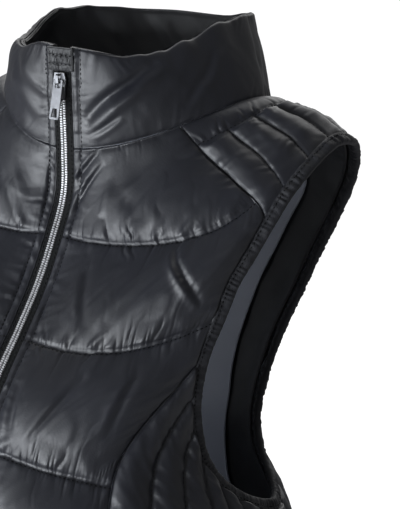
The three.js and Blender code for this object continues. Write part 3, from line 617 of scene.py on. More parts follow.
def polished_metal(name, colour, roughness, metallic=1.0):
    """Nickel-plated zinc, as on fine zips: tumbled bright, with soft rubbed patches. Where metallic is
    under 1, the rest of the pale colour is diffuse: a painted reflection that keeps the metal bright
    whatever it faces.
    """
    material, tree, shader, where = new_material(name, {"Metallic": metallic})
    tree.links.new(mottled(tree, where, colour, 0.15, 300.0), shader.inputs["Base Color"])
    rubbed = patches(tree, where, 420.0, 3.0)
    gloss = add(tree, "ShaderNodeMapRange", {"Value": rubbed, "To Min": roughness,
                                             "To Max": roughness + 0.16})
    tree.links.new(gloss.outputs["Result"], shader.inputs["Roughness"])
    tree.links.new(bumped(tree, rubbed, 0.00005, 0.25), shader.inputs["Normal"])
    return material


def studio_paper(name, colour):
    """Matt background paper, even and pale to the camera. What the cloth gets back from it is
    dimmer, as over a grey studio floor, so that black cloth isn't lit up from below."""
    material, tree, shader, where = new_material(
        name, {"Roughness": 0.9, "Emission Color": colour})
    seen = add(tree, "ShaderNodeLightPath").outputs["Is Camera Ray"]
    pale = mottled(tree, where, colour, 0.01, 2.0)
    shown = add(tree, "ShaderNodeMixRGB",
                {"Fac": seen, "Color1": linear("#a0a0a2"), "Color2": pale})
    tree.links.new(shown.outputs["Color"], shader.inputs["Base Color"])
    glow = add(tree, "ShaderNodeMapRange", {"Value": seen, "To Min": 0.12, "To Max": 0.75})
    tree.links.new(glow.outputs["Result"], shader.inputs["Emission Strength"])
    return material


def finish_of(name):
    """The material that goes by that name here, made on its first use from the scene's colours."""
    if name not in made_finishes:
        made_finishes[name] = FINISHES[name](bpy.context.scene.vest_colours)
    return made_finishes[name]


made_finishes = {}


FINISHES = {
    "nylon": lambda colours: down_proof_nylon("nylon_taffeta_shell", colours.shell, 0.45),
    "inner_nylon": lambda colours: down_proof_nylon("nylon_taffeta_inner", colours.inner, 0.56),
    "lining": lambda colours: lining_taffeta("polyester_lining_taffeta", colours.lining),
    "trim": lambda colours: elastic_knit("elastic_binding", colours.binding),
    "tape": lambda colours: elastic_knit("woven_zip_tape", linear("#0b0c0d"), 0.15),
    "thread": lambda colours: elastic_knit("spun_sewing_thread", linear("#0a0b0d"), 0.12),
    # The teeth are 0.6 metallic. Their pale diffuse part is a painted reflection, bright where real
    # nickel would mirror the dim surroundings.
    "teeth": lambda colours: polished_metal("nickel_plated_teeth", linear("#c6c6c8"), 0.42, 0.6),
    "plated": lambda colours: polished_metal("nickel_plated_zinc", colours.metal, 0.42),
    "paper": lambda colours: studio_paper("background_paper", linear("#f2f2f2")),
}


# Quilted panels

# Gathers above a stitch line, from broad to fine: seed, strength, spacing and reach
GATHERS = ((30, 1.05, 7.0, 12.0), (35, 0.6, 3.4, 6.5), (37, 0.45, 2.2, 2.6))


def panel_lift(sizes, seed, base, phase, across, lines, puff, edge_band=0.0, sag=1.2):
    """How far a quilted panel with level channels stands off its form: the channels' puff, uneven
    from place to place, gathers above and below each stitch line and at the side seams, soft
    rolls, and a flat band beside the zip where edge_band is given."""
    s, t = lengths(base, 1), lengths(base, 0)
    total = s[:, -1:]
    inner_share = np.clip((s - edge_band) / np.maximum(total - edge_band, 1), 0, 1)
    channel = np.clip(np.floor(phase + 1e-6), 0, lines - 1)
    line_rows = np.searchsorted(phase[:, 0], np.arange(lines + 1) - 1e-6)
    line_rows = np.clip(line_rows, 0, len(phase) - 1)
    above = t[line_rows[channel[:, 0].astype(int)]]
    below = t[line_rows[channel[:, 0].astype(int) + 1]]
    from_above, from_below = t - above, below - t
    uneven = 1 + 0.14 * noise(seed, s / 60, phase * 1.7) + 0.04 * noise(seed + 9, s / 20, phase * 3)
    lift = puff * swell(phase, sag) * fade(inner_share, 0.5) * uneven
    body = swell(phase, 1) * fade(inner_share, 0.6)
    lift += sizes.fold_depth / MM * (folds(seed + 20, s, t)
                                     + 0.38 * folds(seed + 25, s, t, 10.0, 0.7)) * body
    depth = sizes.pucker_depth / MM
    key = channel * 37.0
    gathers = sum(share * puckers(seed + k, s + key, from_below, spacing, reach)
                  for k, share, spacing, reach in GATHERS)
    lift += depth * gathers * fade(inner_share, 0.3)
    at_neck = mix(0.45, 1, channel > 0)
    place = s + 211 + key
    gathers = 0.75 * puckers(seed + 40, place, from_above / at_neck, 5.6, 7.0) \
        + 0.45 * puckers(seed + 42, place, from_above, 2.6, 3.0)
    lift += depth * at_neck * gathers * fade(inner_share, 0.3)
    lift -= groove(from_above, from_below)
    end = total - s
    lift += 0.8 * depth * puckers(seed + 50, t, end, 5.0, 9.0) * smooth_step(0, 4, from_above) \
        * smooth_step(0, 4, from_below)
    if edge_band:
        band = np.clip(s / edge_band, 0, 1)
        ripple = puckers(seed + 60, t + 0.5 * s, edge_band - s, 4.2, 7.0)
        lift += (s < edge_band) * (1.1 * fade(band, 0.5) + 0.6 * depth * ripple * fade(band, 0.4))
        past = np.maximum(s - edge_band, 0)
        lift += (s >= edge_band) * 0.55 * depth * puckers(seed + 70, t, past, 4.2, 7.0) \
            * smooth_step(0, 3, from_above) * smooth_step(0, 3, from_below)
    return lift, s, t


# Creases of the fronts: where each starts and ends as shares of the width and as phases of the
# channels, then width and depth in millimetres, and how far it bows
FRONT_CREASES = np.array([
    [0.28, 0.03, 0.03, 0.36, 1.5, 1.7, 0.8],
    [0.30, 0.14, 0.03, 0.78, 1.7, 1.8, 2.5],
    [0.62, 1.10, 0.90, 1.80, 1.9, 2.4, 1.5],
    [0.34, 0.24, 0.52, 0.74, 4.0, 0.4, 3.0],
    [0.20, 1.25, 0.34, 1.85, 3.0, 1.1, 1.0],
    [0.45, 2.20, 0.38, 2.85, 3.0, 1.2, -1.0],
    [0.12, 2.35, 0.24, 2.90, 2.6, 1.0, 1.0],
    [0.70, 2.15, 0.84, 2.70, 2.8, 1.1, 1.0],
    [0.25, 3.25, 0.35, 3.80, 3.4, 1.1, 1.0],
    [0.60, 4.20, 0.50, 4.85, 3.4, 1.1, -1.0],
    [0.30, 5.20, 0.42, 5.80, 3.4, 1.1, 1.0],
    [0.68, 6.15, 0.60, 6.80, 3.4, 1.1, 1.0],
])


def placed_creases(table, s, t, row_of, strength=1.0):
    """The creases of a table, one by one, looked up on a panel's own grid: the first number of a
    place is a share of the columns, and row_of turns the second into a row."""
    columns = s.shape[1] - 1
    for a0, b0, a1, b1, width, depth, bow in table:
        spots = [(int(round(row_of(b))), int(round(a * columns))) for a, b in ((a0, b0), (a1, b1))]
        start, end = ((s[r, c], t[r, c]) for r, c in spots)
        yield crease(s, t, start, end, width, strength * depth, bow)


def front_grid(rows, columns):
    """The fronts' place on the body: down and angle of each point, and its phase and share."""
    phase = np.linspace(0, len(FRONT_LINES) - 1, rows + 1)[:, None]
    u = np.linspace(0, 1, columns + 1)[None, :]
    centre, outer, dip, lean = lines_at(FRONT_LINES, phase)
    down = mix(centre, outer, u) + dip * np.sin(np.pi * u ** lean)
    start = angle_at(PLACKET, body_level(centre)["half_width"], -1)
    angle = mix(start, edge_angle(outer, True) - SEAM_ANGLE, u)
    return np.maximum(down, SEAM_GAP), angle, np.broadcast_to(phase, down.shape), u


def back_grid(rows, columns):
    """The back's place on the body, from the wearer's left seam to the right one."""
    phase = np.linspace(0, len(BACK_LINES) - 1, rows + 1)[:, None]
    across = np.linspace(-1, 1, columns + 1)[None, :]
    centre, outer, dip, _ = lines_at(BACK_LINES, phase)
    u = np.abs(across)
    down = mix(centre, outer, u ** 2) + dip * np.sin(np.pi * u)
    angle = mix(90, edge_angle(outer, False) + SEAM_ANGLE, u)
    angle = np.where(across > 0, 180 - angle, angle)
    return np.maximum(down, SEAM_GAP), angle, np.broadcast_to(phase, down.shape), across


def stitched_rows(outer, rows, lines):
    """Paths along the stitch lines of a panel with level channels, a row of the grid below the
    bottom of each valley, where the puff above doesn't hide the thread."""
    normal = grid_normals(outer)
    return [(outer[k * rows // lines + 1], normal[k * rows // lines + 1]) for k in range(1, lines)]


def column_path(outer, s, distance):
    """A path down a panel at a distance from its first column."""
    normal = grid_normals(outer)
    column = np.argmax(s >= distance, axis=1)
    pick = np.arange(len(outer))
    return outer[pick, column], normal[pick, column]


EDGE_BAND = 5.4
STEP = 4  # points of an outer grid to one of the inner grid
THINNEST = 1.2


def quilted_panel(name, down, angle, lift, inside, hand=1):
    """A quilted panel as a closed wall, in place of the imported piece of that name. Its edges lie
    on the form, its inside is plain, and what comes back is its outer grid on the left side."""
    lift[:, [0, -1]] = 0
    lift[[0, -1]] = 0
    outer = on_body(down, angle, np.maximum(lift, -WALL + THINNEST))
    coarse = down[::STEP, ::STEP], angle[::STEP, ::STEP]
    inner = on_body(*coarse, np.full(coarse[0].shape, -WALL))
    obj = wall_object(f"{name}_quilted", outer, inner, STEP,
                      [finish_of("nylon"), finish_of(inside)], hand, (0, 1, 0))
    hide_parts(name)
    return outer


def make_front(sizes, hand):
    """A front: level channels on the body's form from the zip to the yoke, armhole and side."""
    rows, columns, lines = 352, 244, len(FRONT_LINES) - 1
    down, angle, phase, u = front_grid(rows, columns)
    base = body_point(down, angle)
    side = side_of(hand)
    seed = 100 if hand > 0 else 500
    lift, s, t = panel_lift(sizes, seed, base, phase, u, lines, sizes.front_puff / MM, EDGE_BAND)
    table = FRONT_CREASES if hand > 0 else FRONT_CREASES[3:]
    for one in placed_creases(table, s, t, lambda p: p / lines * rows):
        lift = lift + one
    outer = quilted_panel(f"front_{side}", down, angle, lift, "lining", hand)
    paths = stitched_rows(outer, rows, lines) + [column_path(outer, s, EDGE_BAND)]
    sew(f"front_{side}_stitching", paths, finish_of("thread"), hand)


def make_back(sizes):
    """The back: level channels from one yoke, armhole and side seam to the other."""
    rows, columns, lines = 232, 152, len(BACK_LINES) - 1
    down, angle, phase, across = back_grid(rows, columns)
    base = body_point(down, angle)
    lift, s, t = panel_lift(sizes, 900, base, phase, across, lines, sizes.front_puff / MM)
    wanted = fade(0.5 + np.abs(across) / 2, 0.5)
    flat_in_middle = wanted / np.maximum(fade((across + 1) / 2, 0.5), 0.05)
    lift = lift * np.clip(flat_in_middle, 0.8, 1.6)
    for k, shift in enumerate((0.2, 0.55, 0.8)):
        table = FRONT_CREASES[3 + k::3] * np.array([0.6, 1, 0.6, 1, 1, 1, 1]) \
            + np.array([shift / 2, 0, shift / 2, 0, 0, 0, 0])
        for one in placed_creases(table, s, t, lambda p: p / lines * rows):
            lift = lift + one
    outer = quilted_panel("back", down, angle, lift, "lining")
    sew("back_stitching", stitched_rows(outer, rows, lines), finish_of("thread"))


def upright_lift(sizes, seed, base, channels, u, puff, ends, gather=0.75, valley=0.8, band=None):
    """How far a panel with upright channels stands off its form: their puff, their gathers and
    the valleys at their seams."""
    s, t = lengths(base, 1), lengths(base, 0)
    phase = np.broadcast_to(u * channels, s.shape)
    channel = np.clip(np.floor(phase + 1e-6), 0, channels - 1).astype(int)
    columns = s.shape[1] - 1
    first = s[np.arange(len(s))[:, None], channel * columns // channels]
    last = s[np.arange(len(s))[:, None], (channel + 1) * columns // channels]
    depth = sizes.pucker_depth / MM
    lift = puff * swell(phase, 1) * ends * (1 + 0.2 * noise(seed, t / 42, phase * 1.7))
    lift += gather * depth * puckers(seed + 5, t + channel * 53.0, s - first, 4.4, 6.0)
    lift += gather * depth * puckers(seed + 8, t + channel * 31.0, last - s, 4.4, 6.0)
    lift += sizes.fold_depth / MM * (0.7 * noise(seed + 11, t / 22, phase * 1.3)
                                     + 0.45 * noise(seed + 12, t / 6.5 + phase, s / 7)) * swell(phase, 1)
    lift -= groove(s - first, last - s, valley)
    if band is not None:
        lift = np.where(band[0], band[1], lift)
    return lift


SIDE_COLUMNS = 15  # of a side panel's grid, in each channel
YOKE_COLUMNS = 24


def make_side(sizes, hand):
    """A side panel: upright channels that fan from the armhole to the hem."""
    rows, columns = 220, SIDE_CHANNELS * SIDE_COLUMNS
    u = np.linspace(0, 1, columns + 1)[None, :]
    share = np.linspace(0, 1, rows + 1)[:, None] ** 1.15
    hole = armhole(mix(PRINCESS_CORNER, BACK_PRINCESS_CORNER, u))
    down = mix(hole[..., 0], CENTRE_LENGTH, share)
    swing = np.tanh((down - hole[..., 0]) / PRINCESS_SWING)
    angle = mix(hole[..., 1], mix(-PRINCESS_ANGLE, PRINCESS_ANGLE, u), swing)
    shift = np.zeros(columns + 1)
    shift[0], shift[-1] = SEAM_ANGLE, -SEAM_ANGLE
    angle = angle + shift
    base = body_point(down, angle)
    ends = fade(0.04 + 0.92 * share, 0.35)
    seed = 1300 if hand > 0 else 1400
    lift = upright_lift(sizes, seed, base, SIDE_CHANNELS, u, sizes.side_puff / MM, ends)
    side = side_of(hand)
    outer = quilted_panel(f"side_{side}", down, angle, lift, "lining", hand)
    normal = grid_normals(outer)
    paths = [(outer[:, k], normal[:, k]) for k in range(SIDE_COLUMNS, columns, SIDE_COLUMNS)]
    sew(f"side_{side}_stitching", paths, finish_of("thread"), hand)


def make_yoke(sizes, hand):
    """A yoke: a band along the neck seam and channels that run from it to the armhole."""
    rows, columns = 72, YOKE_CHANNELS * YOKE_COLUMNS
    u = np.linspace(0, 1, columns + 1)[None, :]
    share = np.linspace(0, 1, rows + 1)[:, None]
    end = armhole(mix(YOKE_CORNER, BACK_YOKE_CORNER - len(ARMHOLE), u))
    down = np.maximum(end[..., 0] * share, SEAM_GAP)
    shift = np.zeros(columns + 1)
    shift[0], shift[-1] = SEAM_ANGLE, -SEAM_ANGLE
    angle = mix(mix(-YOKE_NECK_ANGLE, YOKE_NECK_ANGLE, u), end[..., 1], share ** 2) + shift
    base = body_point(down, angle)
    puff = sizes.yoke_puff / MM
    in_band = down < YOKE_BAND
    s = lengths(base, 1)
    depth = sizes.pucker_depth / MM
    band_lift = 0.7 * puff * fade(u) * fade(down / YOKE_BAND) \
        + 0.7 * depth * puckers(1600, s, YOKE_BAND - down, 4.4, 7.0)
    seed = 1500 if hand > 0 else 1700
    past = np.maximum(down - YOKE_BAND, 0)
    ends = fade(0.5 + share / 2, 0.5) * smooth_step(0, 7, past)
    lift = upright_lift(sizes, seed, base, YOKE_CHANNELS, u, puff, ends, 0.4, 0.5,
                        (in_band, band_lift))
    lift += np.where(in_band, 0, 0.4 * depth * puckers(seed + 30, s, past, 4.6, 9.0))
    side = side_of(hand)
    outer = quilted_panel(f"yoke_{side}", down, angle, lift, "inner_nylon", hand)
    normal = grid_normals(outer)
    start = np.argmax(down >= YOKE_BAND, axis=0)
    pick = np.arange(columns + 1)
    paths = [(outer[start, pick], normal[start, pick])]
    for k in range(YOKE_COLUMNS, columns, YOKE_COLUMNS):
        paths.append((outer[start[k]:, k], normal[start[k]:, k]))
    sew(f"yoke_{side}_stitching", paths, finish_of("thread"), hand)


# Creases of the collar, as shares of the way round and of the height, then width, depth and bow
COLLAR_CREASES = np.array([
    [0.013, 0.24, 0.110, 0.86, 3.8, 3.6, -5.0],
    [0.018, 0.12, 0.058, 0.34, 1.8, 1.3, 1.0],
    [0.120, 0.20, 0.180, 0.75, 3.4, 1.2, 2.0],
    [0.260, 0.15, 0.300, 0.80, 4.0, 1.2, -1.0],
    [0.420, 0.25, 0.460, 0.85, 4.5, 1.1, 1.0],
    [0.580, 0.15, 0.540, 0.75, 4.5, 1.1, 1.0],
    [0.740, 0.20, 0.700, 0.80, 4.0, 1.2, 1.0],
    [0.985, 0.36, 0.900, 0.92, 4.0, 2.2, -3.0],
    [0.970, 0.10, 0.890, 0.46, 3.6, 1.8, 2.0],
])


def collar_grid(rows, columns):
    """The collar's place on its form, from the rim down: how far up and at what angle each point
    is, its share of the way round, and its distances from the first column and from the rim."""
    up = np.linspace(SEAM_GAP / COLLAR_HEIGHT, 1, rows + 1)[::-1, None]
    share = np.linspace(0, 1, columns + 1)[None, :]
    start = angle_at(PLACKET, mix(BODY[0][1], RIM_PLAN["half_width"], up), -1)
    angle = mix(start, 180 - start, share)
    up = np.broadcast_to(up, angle.shape)
    base = collar_point(up, angle)
    return up, angle, share, lengths(base, 1), lengths(base, 0)


def make_collar(sizes):
    """The collar: a padded band on a straight run from the neck seam to the rim, whose edge is
    rounded over, with a topstitched strip beside the zip at both ends."""
    rows = 72
    up, angle, _, s, t = collar_grid(rows, 400)
    total = s[:, -1:]
    from_end = np.minimum(s, total - s)
    past = np.maximum(from_end - EDGE_BAND, 0)
    depth = sizes.pucker_depth / MM
    ends = smooth_step(0, 26, past) * 0.85 + 0.15 * smooth_step(0, 3, past)
    fullness = mix(COLLAR_FLATTEST, 1, np.sqrt(np.maximum(-np.sin(np.radians(angle)), 0)))
    lift = sizes.collar_puff / MM * fullness * fade(up, 0.42) * ends
    lift += sizes.fold_depth / MM * (0.9 * folds(2000, s, t, 36.0, 0.8)
                                     + 0.3 * folds(2005, s, t, 11.0, -0.7)) * fade(up, 0.8) * ends
    foot = t[-1:] - t
    lift += 0.4 * depth * puckers(2010, s, foot, 3.4, 5.0) * smooth_step(0, 6, past)
    lift += 0.4 * depth * puckers(2020, s, t, 5.5, 6.0) * smooth_step(0, 6, past)
    lift += (past <= 0) * (0.9 * fade(from_end / EDGE_BAND, 0.5)
                           + 0.5 * depth * puckers(2030, t, EDGE_BAND - from_end, 3.4, 7.0)
                           * fade(from_end / EDGE_BAND, 0.4))
    lift += (past > 0) * 0.3 * depth * puckers(2040, t, past, 3.8, 5.0)
    for one in placed_creases(COLLAR_CREASES, s, t, lambda height: (1 - height) * rows):
        lift = lift + one * fade(up, 0.3)
    edge = np.clip((up - 0.965) / 0.035, 0, 1)
    lift -= 1.5 * (1 - np.sqrt(1 - 0.98 * edge ** 2))
    lift[:, [0, -1]] = 0
    lift = np.clip(lift, -WALL + 1.1, None)
    outer = on_collar(up, angle, lift)
    coarse = up[::STEP, ::STEP], angle[::STEP, ::STEP]
    inner = on_collar(*coarse, np.full(coarse[0].shape, -WALL))
    obj = wall_object("collar_padded", outer, inner, STEP, [finish_of("nylon")])
    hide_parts("collar")
    flipped = s[:, -1:] - s[:, ::-1]
    first = column_path(outer, s, EDGE_BAND)
    last = column_path(outer[:, ::-1], flipped, EDGE_BAND)
    sew("collar_stitching", [first, (last[0], -last[1])], finish_of("thread"))


def make_collar_inner(sizes):
    """The collar's inner face: soft and dark, a little loose between the rim and the neck seam."""
    up, angle, share, s, t = collar_grid(32, 200)
    outside = mix(-3.8, -3.15, smooth_step(0.9, 1, up))
    loose = fade(up, 0.4) * fade(share, 0.3)
    inside = -5.6 - 2.0 * loose - 2.6 * folds(2100, s, t, 24.0, 0.6) * loose \
        - 0.6 * puckers(2110, s, t[-1:] - t, 5.0, 9.0) - 0.5 * puckers(2120, s, t, 5.0, 7.0)
    edge = np.clip((up - 0.95) / 0.05, 0, 1)
    inside = inside + 1.4 * (1 - np.sqrt(1 - 0.98 * edge ** 2))
    inside = np.minimum(inside, -4.4)
    fine = on_collar(up, angle, inside)
    coarse = on_collar(*(grid[::STEP, ::STEP] for grid in (up, angle, outside)))
    obj = wall_object("collar_inner_soft", fine, coarse, STEP, [finish_of("inner_nylon")])
    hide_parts("collar_inner")


# Trim of the armholes

def armhole_frame(place):
    """The armhole's edge: points, and the directions out of the cloth and away from the opening."""
    at = lambda p: body_point(armhole(p)[..., 0], armhole(p)[..., 1])
    along = unit(at(place + 0.02) - at(place - 0.02))
    spot = armhole(place)
    normal = outward(body_point, spot[..., 0], spot[..., 1], 0.5, 0.2)
    return at(place), normal, unit(np.cross(along, normal))


BINDING = {"width": 8.4, "thick": 5.4, "from_edge": 3.7, "groove": 1.6, "gather": 0.85,
           "gather_pitch": 1.5}


def make_binding(hand):
    """An armhole's elastic binding: a flat oval tube along the edge, gathered into small ribs,
    with a stitched groove along its middle."""
    steps, sides = 760, 24
    place = np.arange(steps) / steps * len(ARMHOLE)
    point, normal, away = armhole_frame(place)
    s = lengths(np.concatenate([point, point[:1]]), 0)[:-1]
    turn = 2 * np.pi * np.arange(sides) / sides
    c, n = np.cos(turn), np.sin(turn)
    width = BINDING["width"] / 2 * np.sign(c) * np.abs(c) ** 0.6
    height = BINDING["thick"] / 2 * np.sign(n) * np.abs(n) ** 0.8
    groove = 0.55 * np.exp(-((width - BINDING["groove"]) / 0.7) ** 2) * np.sign(n)
    ribs = BINDING["gather"] * noise(2500, s[:, None] / BINDING["gather_pitch"], width[None] / 6)
    ribs = ribs * np.abs(n)[None] + 0.25 * noise(2510, s[:, None] / 9, width[None] / 9)
    reach = width[None] * (1 + 0.03 * noise(2520, s[:, None] / 2.2, 0.5))
    section = point[:, None] + away[:, None] * (reach - BINDING["from_edge"])[..., None] \
        + normal[:, None] * (height - groove + ribs * np.sign(n) - WALL / 2)[..., None]
    if hand < 0:
        section = mirrored(section)
    side = side_of(hand)
    obj = tube_object(f"armhole_binding_{side}_gathered", section, True, [finish_of("trim")])
    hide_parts(f"armhole_binding_{side}")
    k = int(np.argmin(np.where(n > 0, np.abs(width - BINDING["groove"]), 99)))
    top = np.concatenate([section[:, k], section[:1, k]])
    up = np.concatenate([normal, normal[:1]]) * np.array([hand, 1, 1])
    sew(f"armhole_binding_{side}_stitching", [(top, up)], finish_of("thread"))


def slide(spot, direction, distance):
    """Moves places on the body by a distance along a direction in its surface: the step in down
    and angle whose slopes add up to that direction."""
    down, angle = spot[..., 0], spot[..., 1]
    down_step = body_point(down + 0.5, angle) - body_point(down - 0.5, angle)
    angle_step = body_point(down, angle + 0.5) - body_point(down, angle - 0.5)
    dd, da, aa = ((p * q).sum(-1) for p, q in ((down_step, down_step), (down_step, angle_step),
                                               (angle_step, angle_step)))
    d, a = (direction * down_step).sum(-1), (direction * angle_step).sum(-1)
    scale = distance / (dd * aa - da * da)
    return np.stack([down + scale * (d * aa - a * da), angle + scale * (a * dd - d * da)], -1)


def make_facing(hand):
    """An armhole's facing: a band of cloth behind the edge, slid over the body from it, with a
    few soft creases that run away from the opening."""
    steps, rows = 288, 12
    place = np.arange(steps + 1) / steps * len(ARMHOLE)
    _, _, away = armhole_frame(place)
    spot = slide(armhole(place), away, 1.0)
    grid = [spot]
    swollen = np.exp(-((place - FACING_SWELL["place"]) / FACING_SWELL["within"]) ** 2)
    width = FACING_WIDTH + FACING_SWELL["more"] * swollen
    for _ in range(rows):
        spot = slide(spot, away, width / rows)
        grid.append(spot)
    grid = np.stack(grid)
    down, angle = grid[..., 0], grid[..., 1]
    s = lengths(body_point(down, angle), 1)[0]
    share = np.linspace(0, 1, rows + 1)[:, None]
    around = np.minimum(s, s[-1] - s)
    ripple = 0.55 * noise(2600, around[None] / 13, share * 1.4) \
        + 0.6 * noise(2610, around[None] / 3.4, share * 2) * (1 - share) ** 2
    faces = [on_body(down, angle, depth + ripple * fade(share, 0.5)) for depth in FACING_DEPTH]
    section = np.concatenate([faces[0], faces[1][::-1]], 0).transpose(1, 0, 2)[:-1]
    if hand < 0:
        section = mirrored(section)
    side = side_of(hand)
    obj = tube_object(f"armhole_facing_{side}_cloth", section, True, [finish_of("inner_nylon")])
    surface_area(faces[1])
    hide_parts(f"armhole_facing_{side}")


LINING_CREASES = np.array([
    [0.20, 0.10, 0.27, 0.42, 3.2, 1.2, 1.0],
    [0.50, 0.06, 0.46, 0.30, 4.0, 1.0, 2.0],
    [0.72, 0.12, 0.64, 0.48, 3.6, 1.2, -1.0],
    [0.30, 0.40, 0.38, 0.80, 4.2, 1.2, 2.0],
    [0.62, 0.45, 0.55, 0.85, 4.2, 1.2, -2.0],
])


def make_lining():
    """The back's lining: a loose thin sheet inside the back, from one facing to the other."""
    rows, columns = 100, 72
    share = np.linspace(0, 1, rows + 1)[:, None]
    across = np.linspace(0, 1, columns + 1)[None, :]
    down = mix(LINING_TOP, CENTRE_LENGTH - LINING_TOP, share)
    edge = smooth_rows(LINING_EDGE, down)[..., 0]
    angle = mix(edge, 180 - edge, across)
    down = np.broadcast_to(down, angle.shape)
    base = body_point(down, angle)
    s, t = lengths(base, 1), lengths(base, 0)
    loose = fade(share, 0.4) * fade(across, 0.4)
    wave = 2.4 * folds(2700, s, t, 40.0, 0.3) * loose
    for one in placed_creases(LINING_CREASES, s, t, lambda fall: fall * rows, 1.6):
        wave = wave + one * loose
    wave = -np.abs(wave)
    faces = [on_body(down, angle, depth + wave) for depth in LINING_DEPTH]
    obj = wall_object("lining_back_cloth", faces[0], faces[1], 1, [finish_of("lining")])
    surface_area(faces[1])
    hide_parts("lining_back")


# Zip

def centre_front(down):
    """The centre front at levels down it, or up the collar where negative: points, and the
    directions up along it and out of it."""
    down = np.asarray(down, float)

    def at(d):
        on_the_body = body_point(np.maximum(d, 0), -90.0)
        on_the_collar = collar_point(np.maximum(-d, 0) / COLLAR_HEIGHT, -90.0)
        return np.where((d >= 0)[..., None], on_the_body, on_the_collar)

    up = unit(at(down - 0.5) - at(down + 0.5))
    out = unit(np.stack([np.zeros_like(down), -up[..., 2], up[..., 1]], -1))
    out = np.where(out[..., 1:2] > 0, -out, out)
    point = at(down)
    point[..., 0] = 0
    return point, up, out


def make_tape(hand):
    """A zip tape: a woven strip beside the teeth with a corded edge and a line of stitches."""
    rows = 320
    levels = np.linspace(1 - COLLAR_HEIGHT, CENTRE_LENGTH - 0.5, rows + 1)
    point, _, out = centre_front(levels)
    inner, outer = TAPE_EDGES
    x = np.linspace(inner, outer, 7)
    top = TAPE_LIFT[0] + 0.35 * np.exp(-((x - inner - 0.5) / 0.5) ** 2)
    profile = [(a, b) for a, b in zip(x, top)] + [(outer, TAPE_LIFT[1]), (inner, TAPE_LIFT[1])]
    section = np.stack([point + out * b + np.array([a * hand, 0, 0]) for a, b in profile], 1)
    side = side_of(hand)
    obj = tube_object(f"zip_tape_{side}_woven", section, False, [finish_of("tape")])
    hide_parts(f"zip_tape_{side}")
    middle = section[:, 4]
    sew(f"zip_tape_{side}_stitching", [(middle, out)], finish_of("thread"))


TOOTH = {"reach": 2.0, "length": 1.05, "foot": -1.0, "shoulder": 0.35, "top": 0.85, "inset": 0.25,
         "overlap": -0.3}


def make_teeth():
    """The zip's teeth: two rows of small blocks with chamfered tops, set half a pitch apart on
    either side of a dark line, and the woven core under it."""
    first = SLIDER_BELOW - PIVOT_ABOVE_SEAM + 1.5
    count = int((TEETH_END - first) / TEETH_PITCH)
    t = TOOTH
    blocks = []
    for hand, start in ((1, 0.0), (-1, 0.5)):
        levels = first + (np.arange(count) + start) * TEETH_PITCH
        point, up, out = centre_front(levels)
        near, far = -t["overlap"] * hand, (t["reach"] - t["overlap"]) * hand
        half = t["length"] / 2
        corners = []
        for lift, inset in ((t["foot"], 0.0), (t["shoulder"], 0.0), (t["top"], t["inset"])):
            low, high = near + inset * hand, far - inset * hand
            for x, along in ((low, -half + inset * 0.6), (high, -half + inset * 0.6),
                             (high, half - inset * 0.6), (low, half - inset * 0.6)):
                corners.append(point + up * along + out * lift + np.array([x, 0, 0]))
        block = np.stack(corners, 1)
        blocks.append(block if hand > 0 else block[:, [1, 0, 3, 2, 5, 4, 7, 6, 9, 8, 11, 10]])
    blocks = np.concatenate(blocks)
    one = [[3, 2, 1, 0], [8, 9, 10, 11]]
    for ring in (0, 4):
        for k in range(4):
            n = (k + 1) % 4
            one.append([ring + k, ring + n, ring + 4 + n, ring + 4 + k])
    faces = (np.arange(len(blocks))[:, None, None] * 12 + np.array(one)).reshape(-1, 4)
    points = blocks.reshape(-1, 3)
    obj = finish_mesh("zip_teeth", points, right_way_out(points, [faces]), [finish_of("teeth")],
                      smooth=False)
    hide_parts("zip_chain")
    levels = np.linspace(first - 1.5, TEETH_END, 200)
    point, _, out = centre_front(levels)
    profile = [(-2.3, -0.9), (-2.3, -0.3), (0, -0.1), (2.3, -0.3), (2.3, -0.9)]
    section = np.stack([point + out * b + np.array([a, 0, 0]) for a, b in profile], 1)
    core = tube_object("zip_core", section, False, [finish_of("tape")])


def make_garage():
    """The zip garage: a puckered patch over the top of the zip, gathered by two rows of stitches."""
    rows, columns = 40, 72
    v = np.linspace(1, 0, rows + 1)[:, None]
    u = np.linspace(0, 1, columns + 1)[None, :]
    levels = -mix(GARAGE["foot"], GARAGE["top"], v)
    point, up, out = centre_front(np.broadcast_to(levels, (rows + 1, columns + 1)))
    x = mix(-GARAGE["half_width"], GARAGE["half_width"], u)
    waves = noise(2900, u * GARAGE["puckers"] * 1.5 + 0.8 * v, v * 2.6) \
        + 0.5 * noise(2910, u * 22, v * 6)
    rows_of_stitches = sum(np.exp(-((v - place) / 0.05) ** 2) for place in GARAGE["stitches"])
    lift = GARAGE["lift"] + GARAGE["thick"] + 0.5 * np.cos(np.pi * (u - 0.5)) \
        + 0.75 * waves * fade(0.1 + 0.8 * v, 0.4) * fade(u, 0.3) - 0.5 * rows_of_stitches * fade(u, 0.2)
    edge = np.minimum(fade(u, 0.25), fade(v, 0.25))
    lift = mix(GARAGE["lift"] + 0.6, lift, edge)
    shifted = point + np.stack([np.broadcast_to(x, lift.shape), 0 * lift, 0 * lift], -1)
    outer = shifted + out * lift[..., None]
    inner = (shifted + out * GARAGE["lift"])[::STEP, ::STEP]
    obj = wall_object("zip_garage_puckered", outer, inner, STEP, [finish_of("inner_nylon")])
    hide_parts("zip_garage")
    stitched = [int(round((1 - place) * rows)) for place in GARAGE["stitches"]]
    paths = [(outer[k], out[k]) for k in stitched]
    sew("zip_garage_stitching", paths, finish_of("thread"))


TAB = {"width": 7.2, "length": 26.0, "thick": 1.1, "bar": 1.1, "eye_width": 3.6, "eye_height": 4.4,
       "corner": 1.0, "bevel": 0.22}
TAB_WINDOW = {"top": 3.0, "bottom": 4.4, "height": 5.6, "margin": 1.6}


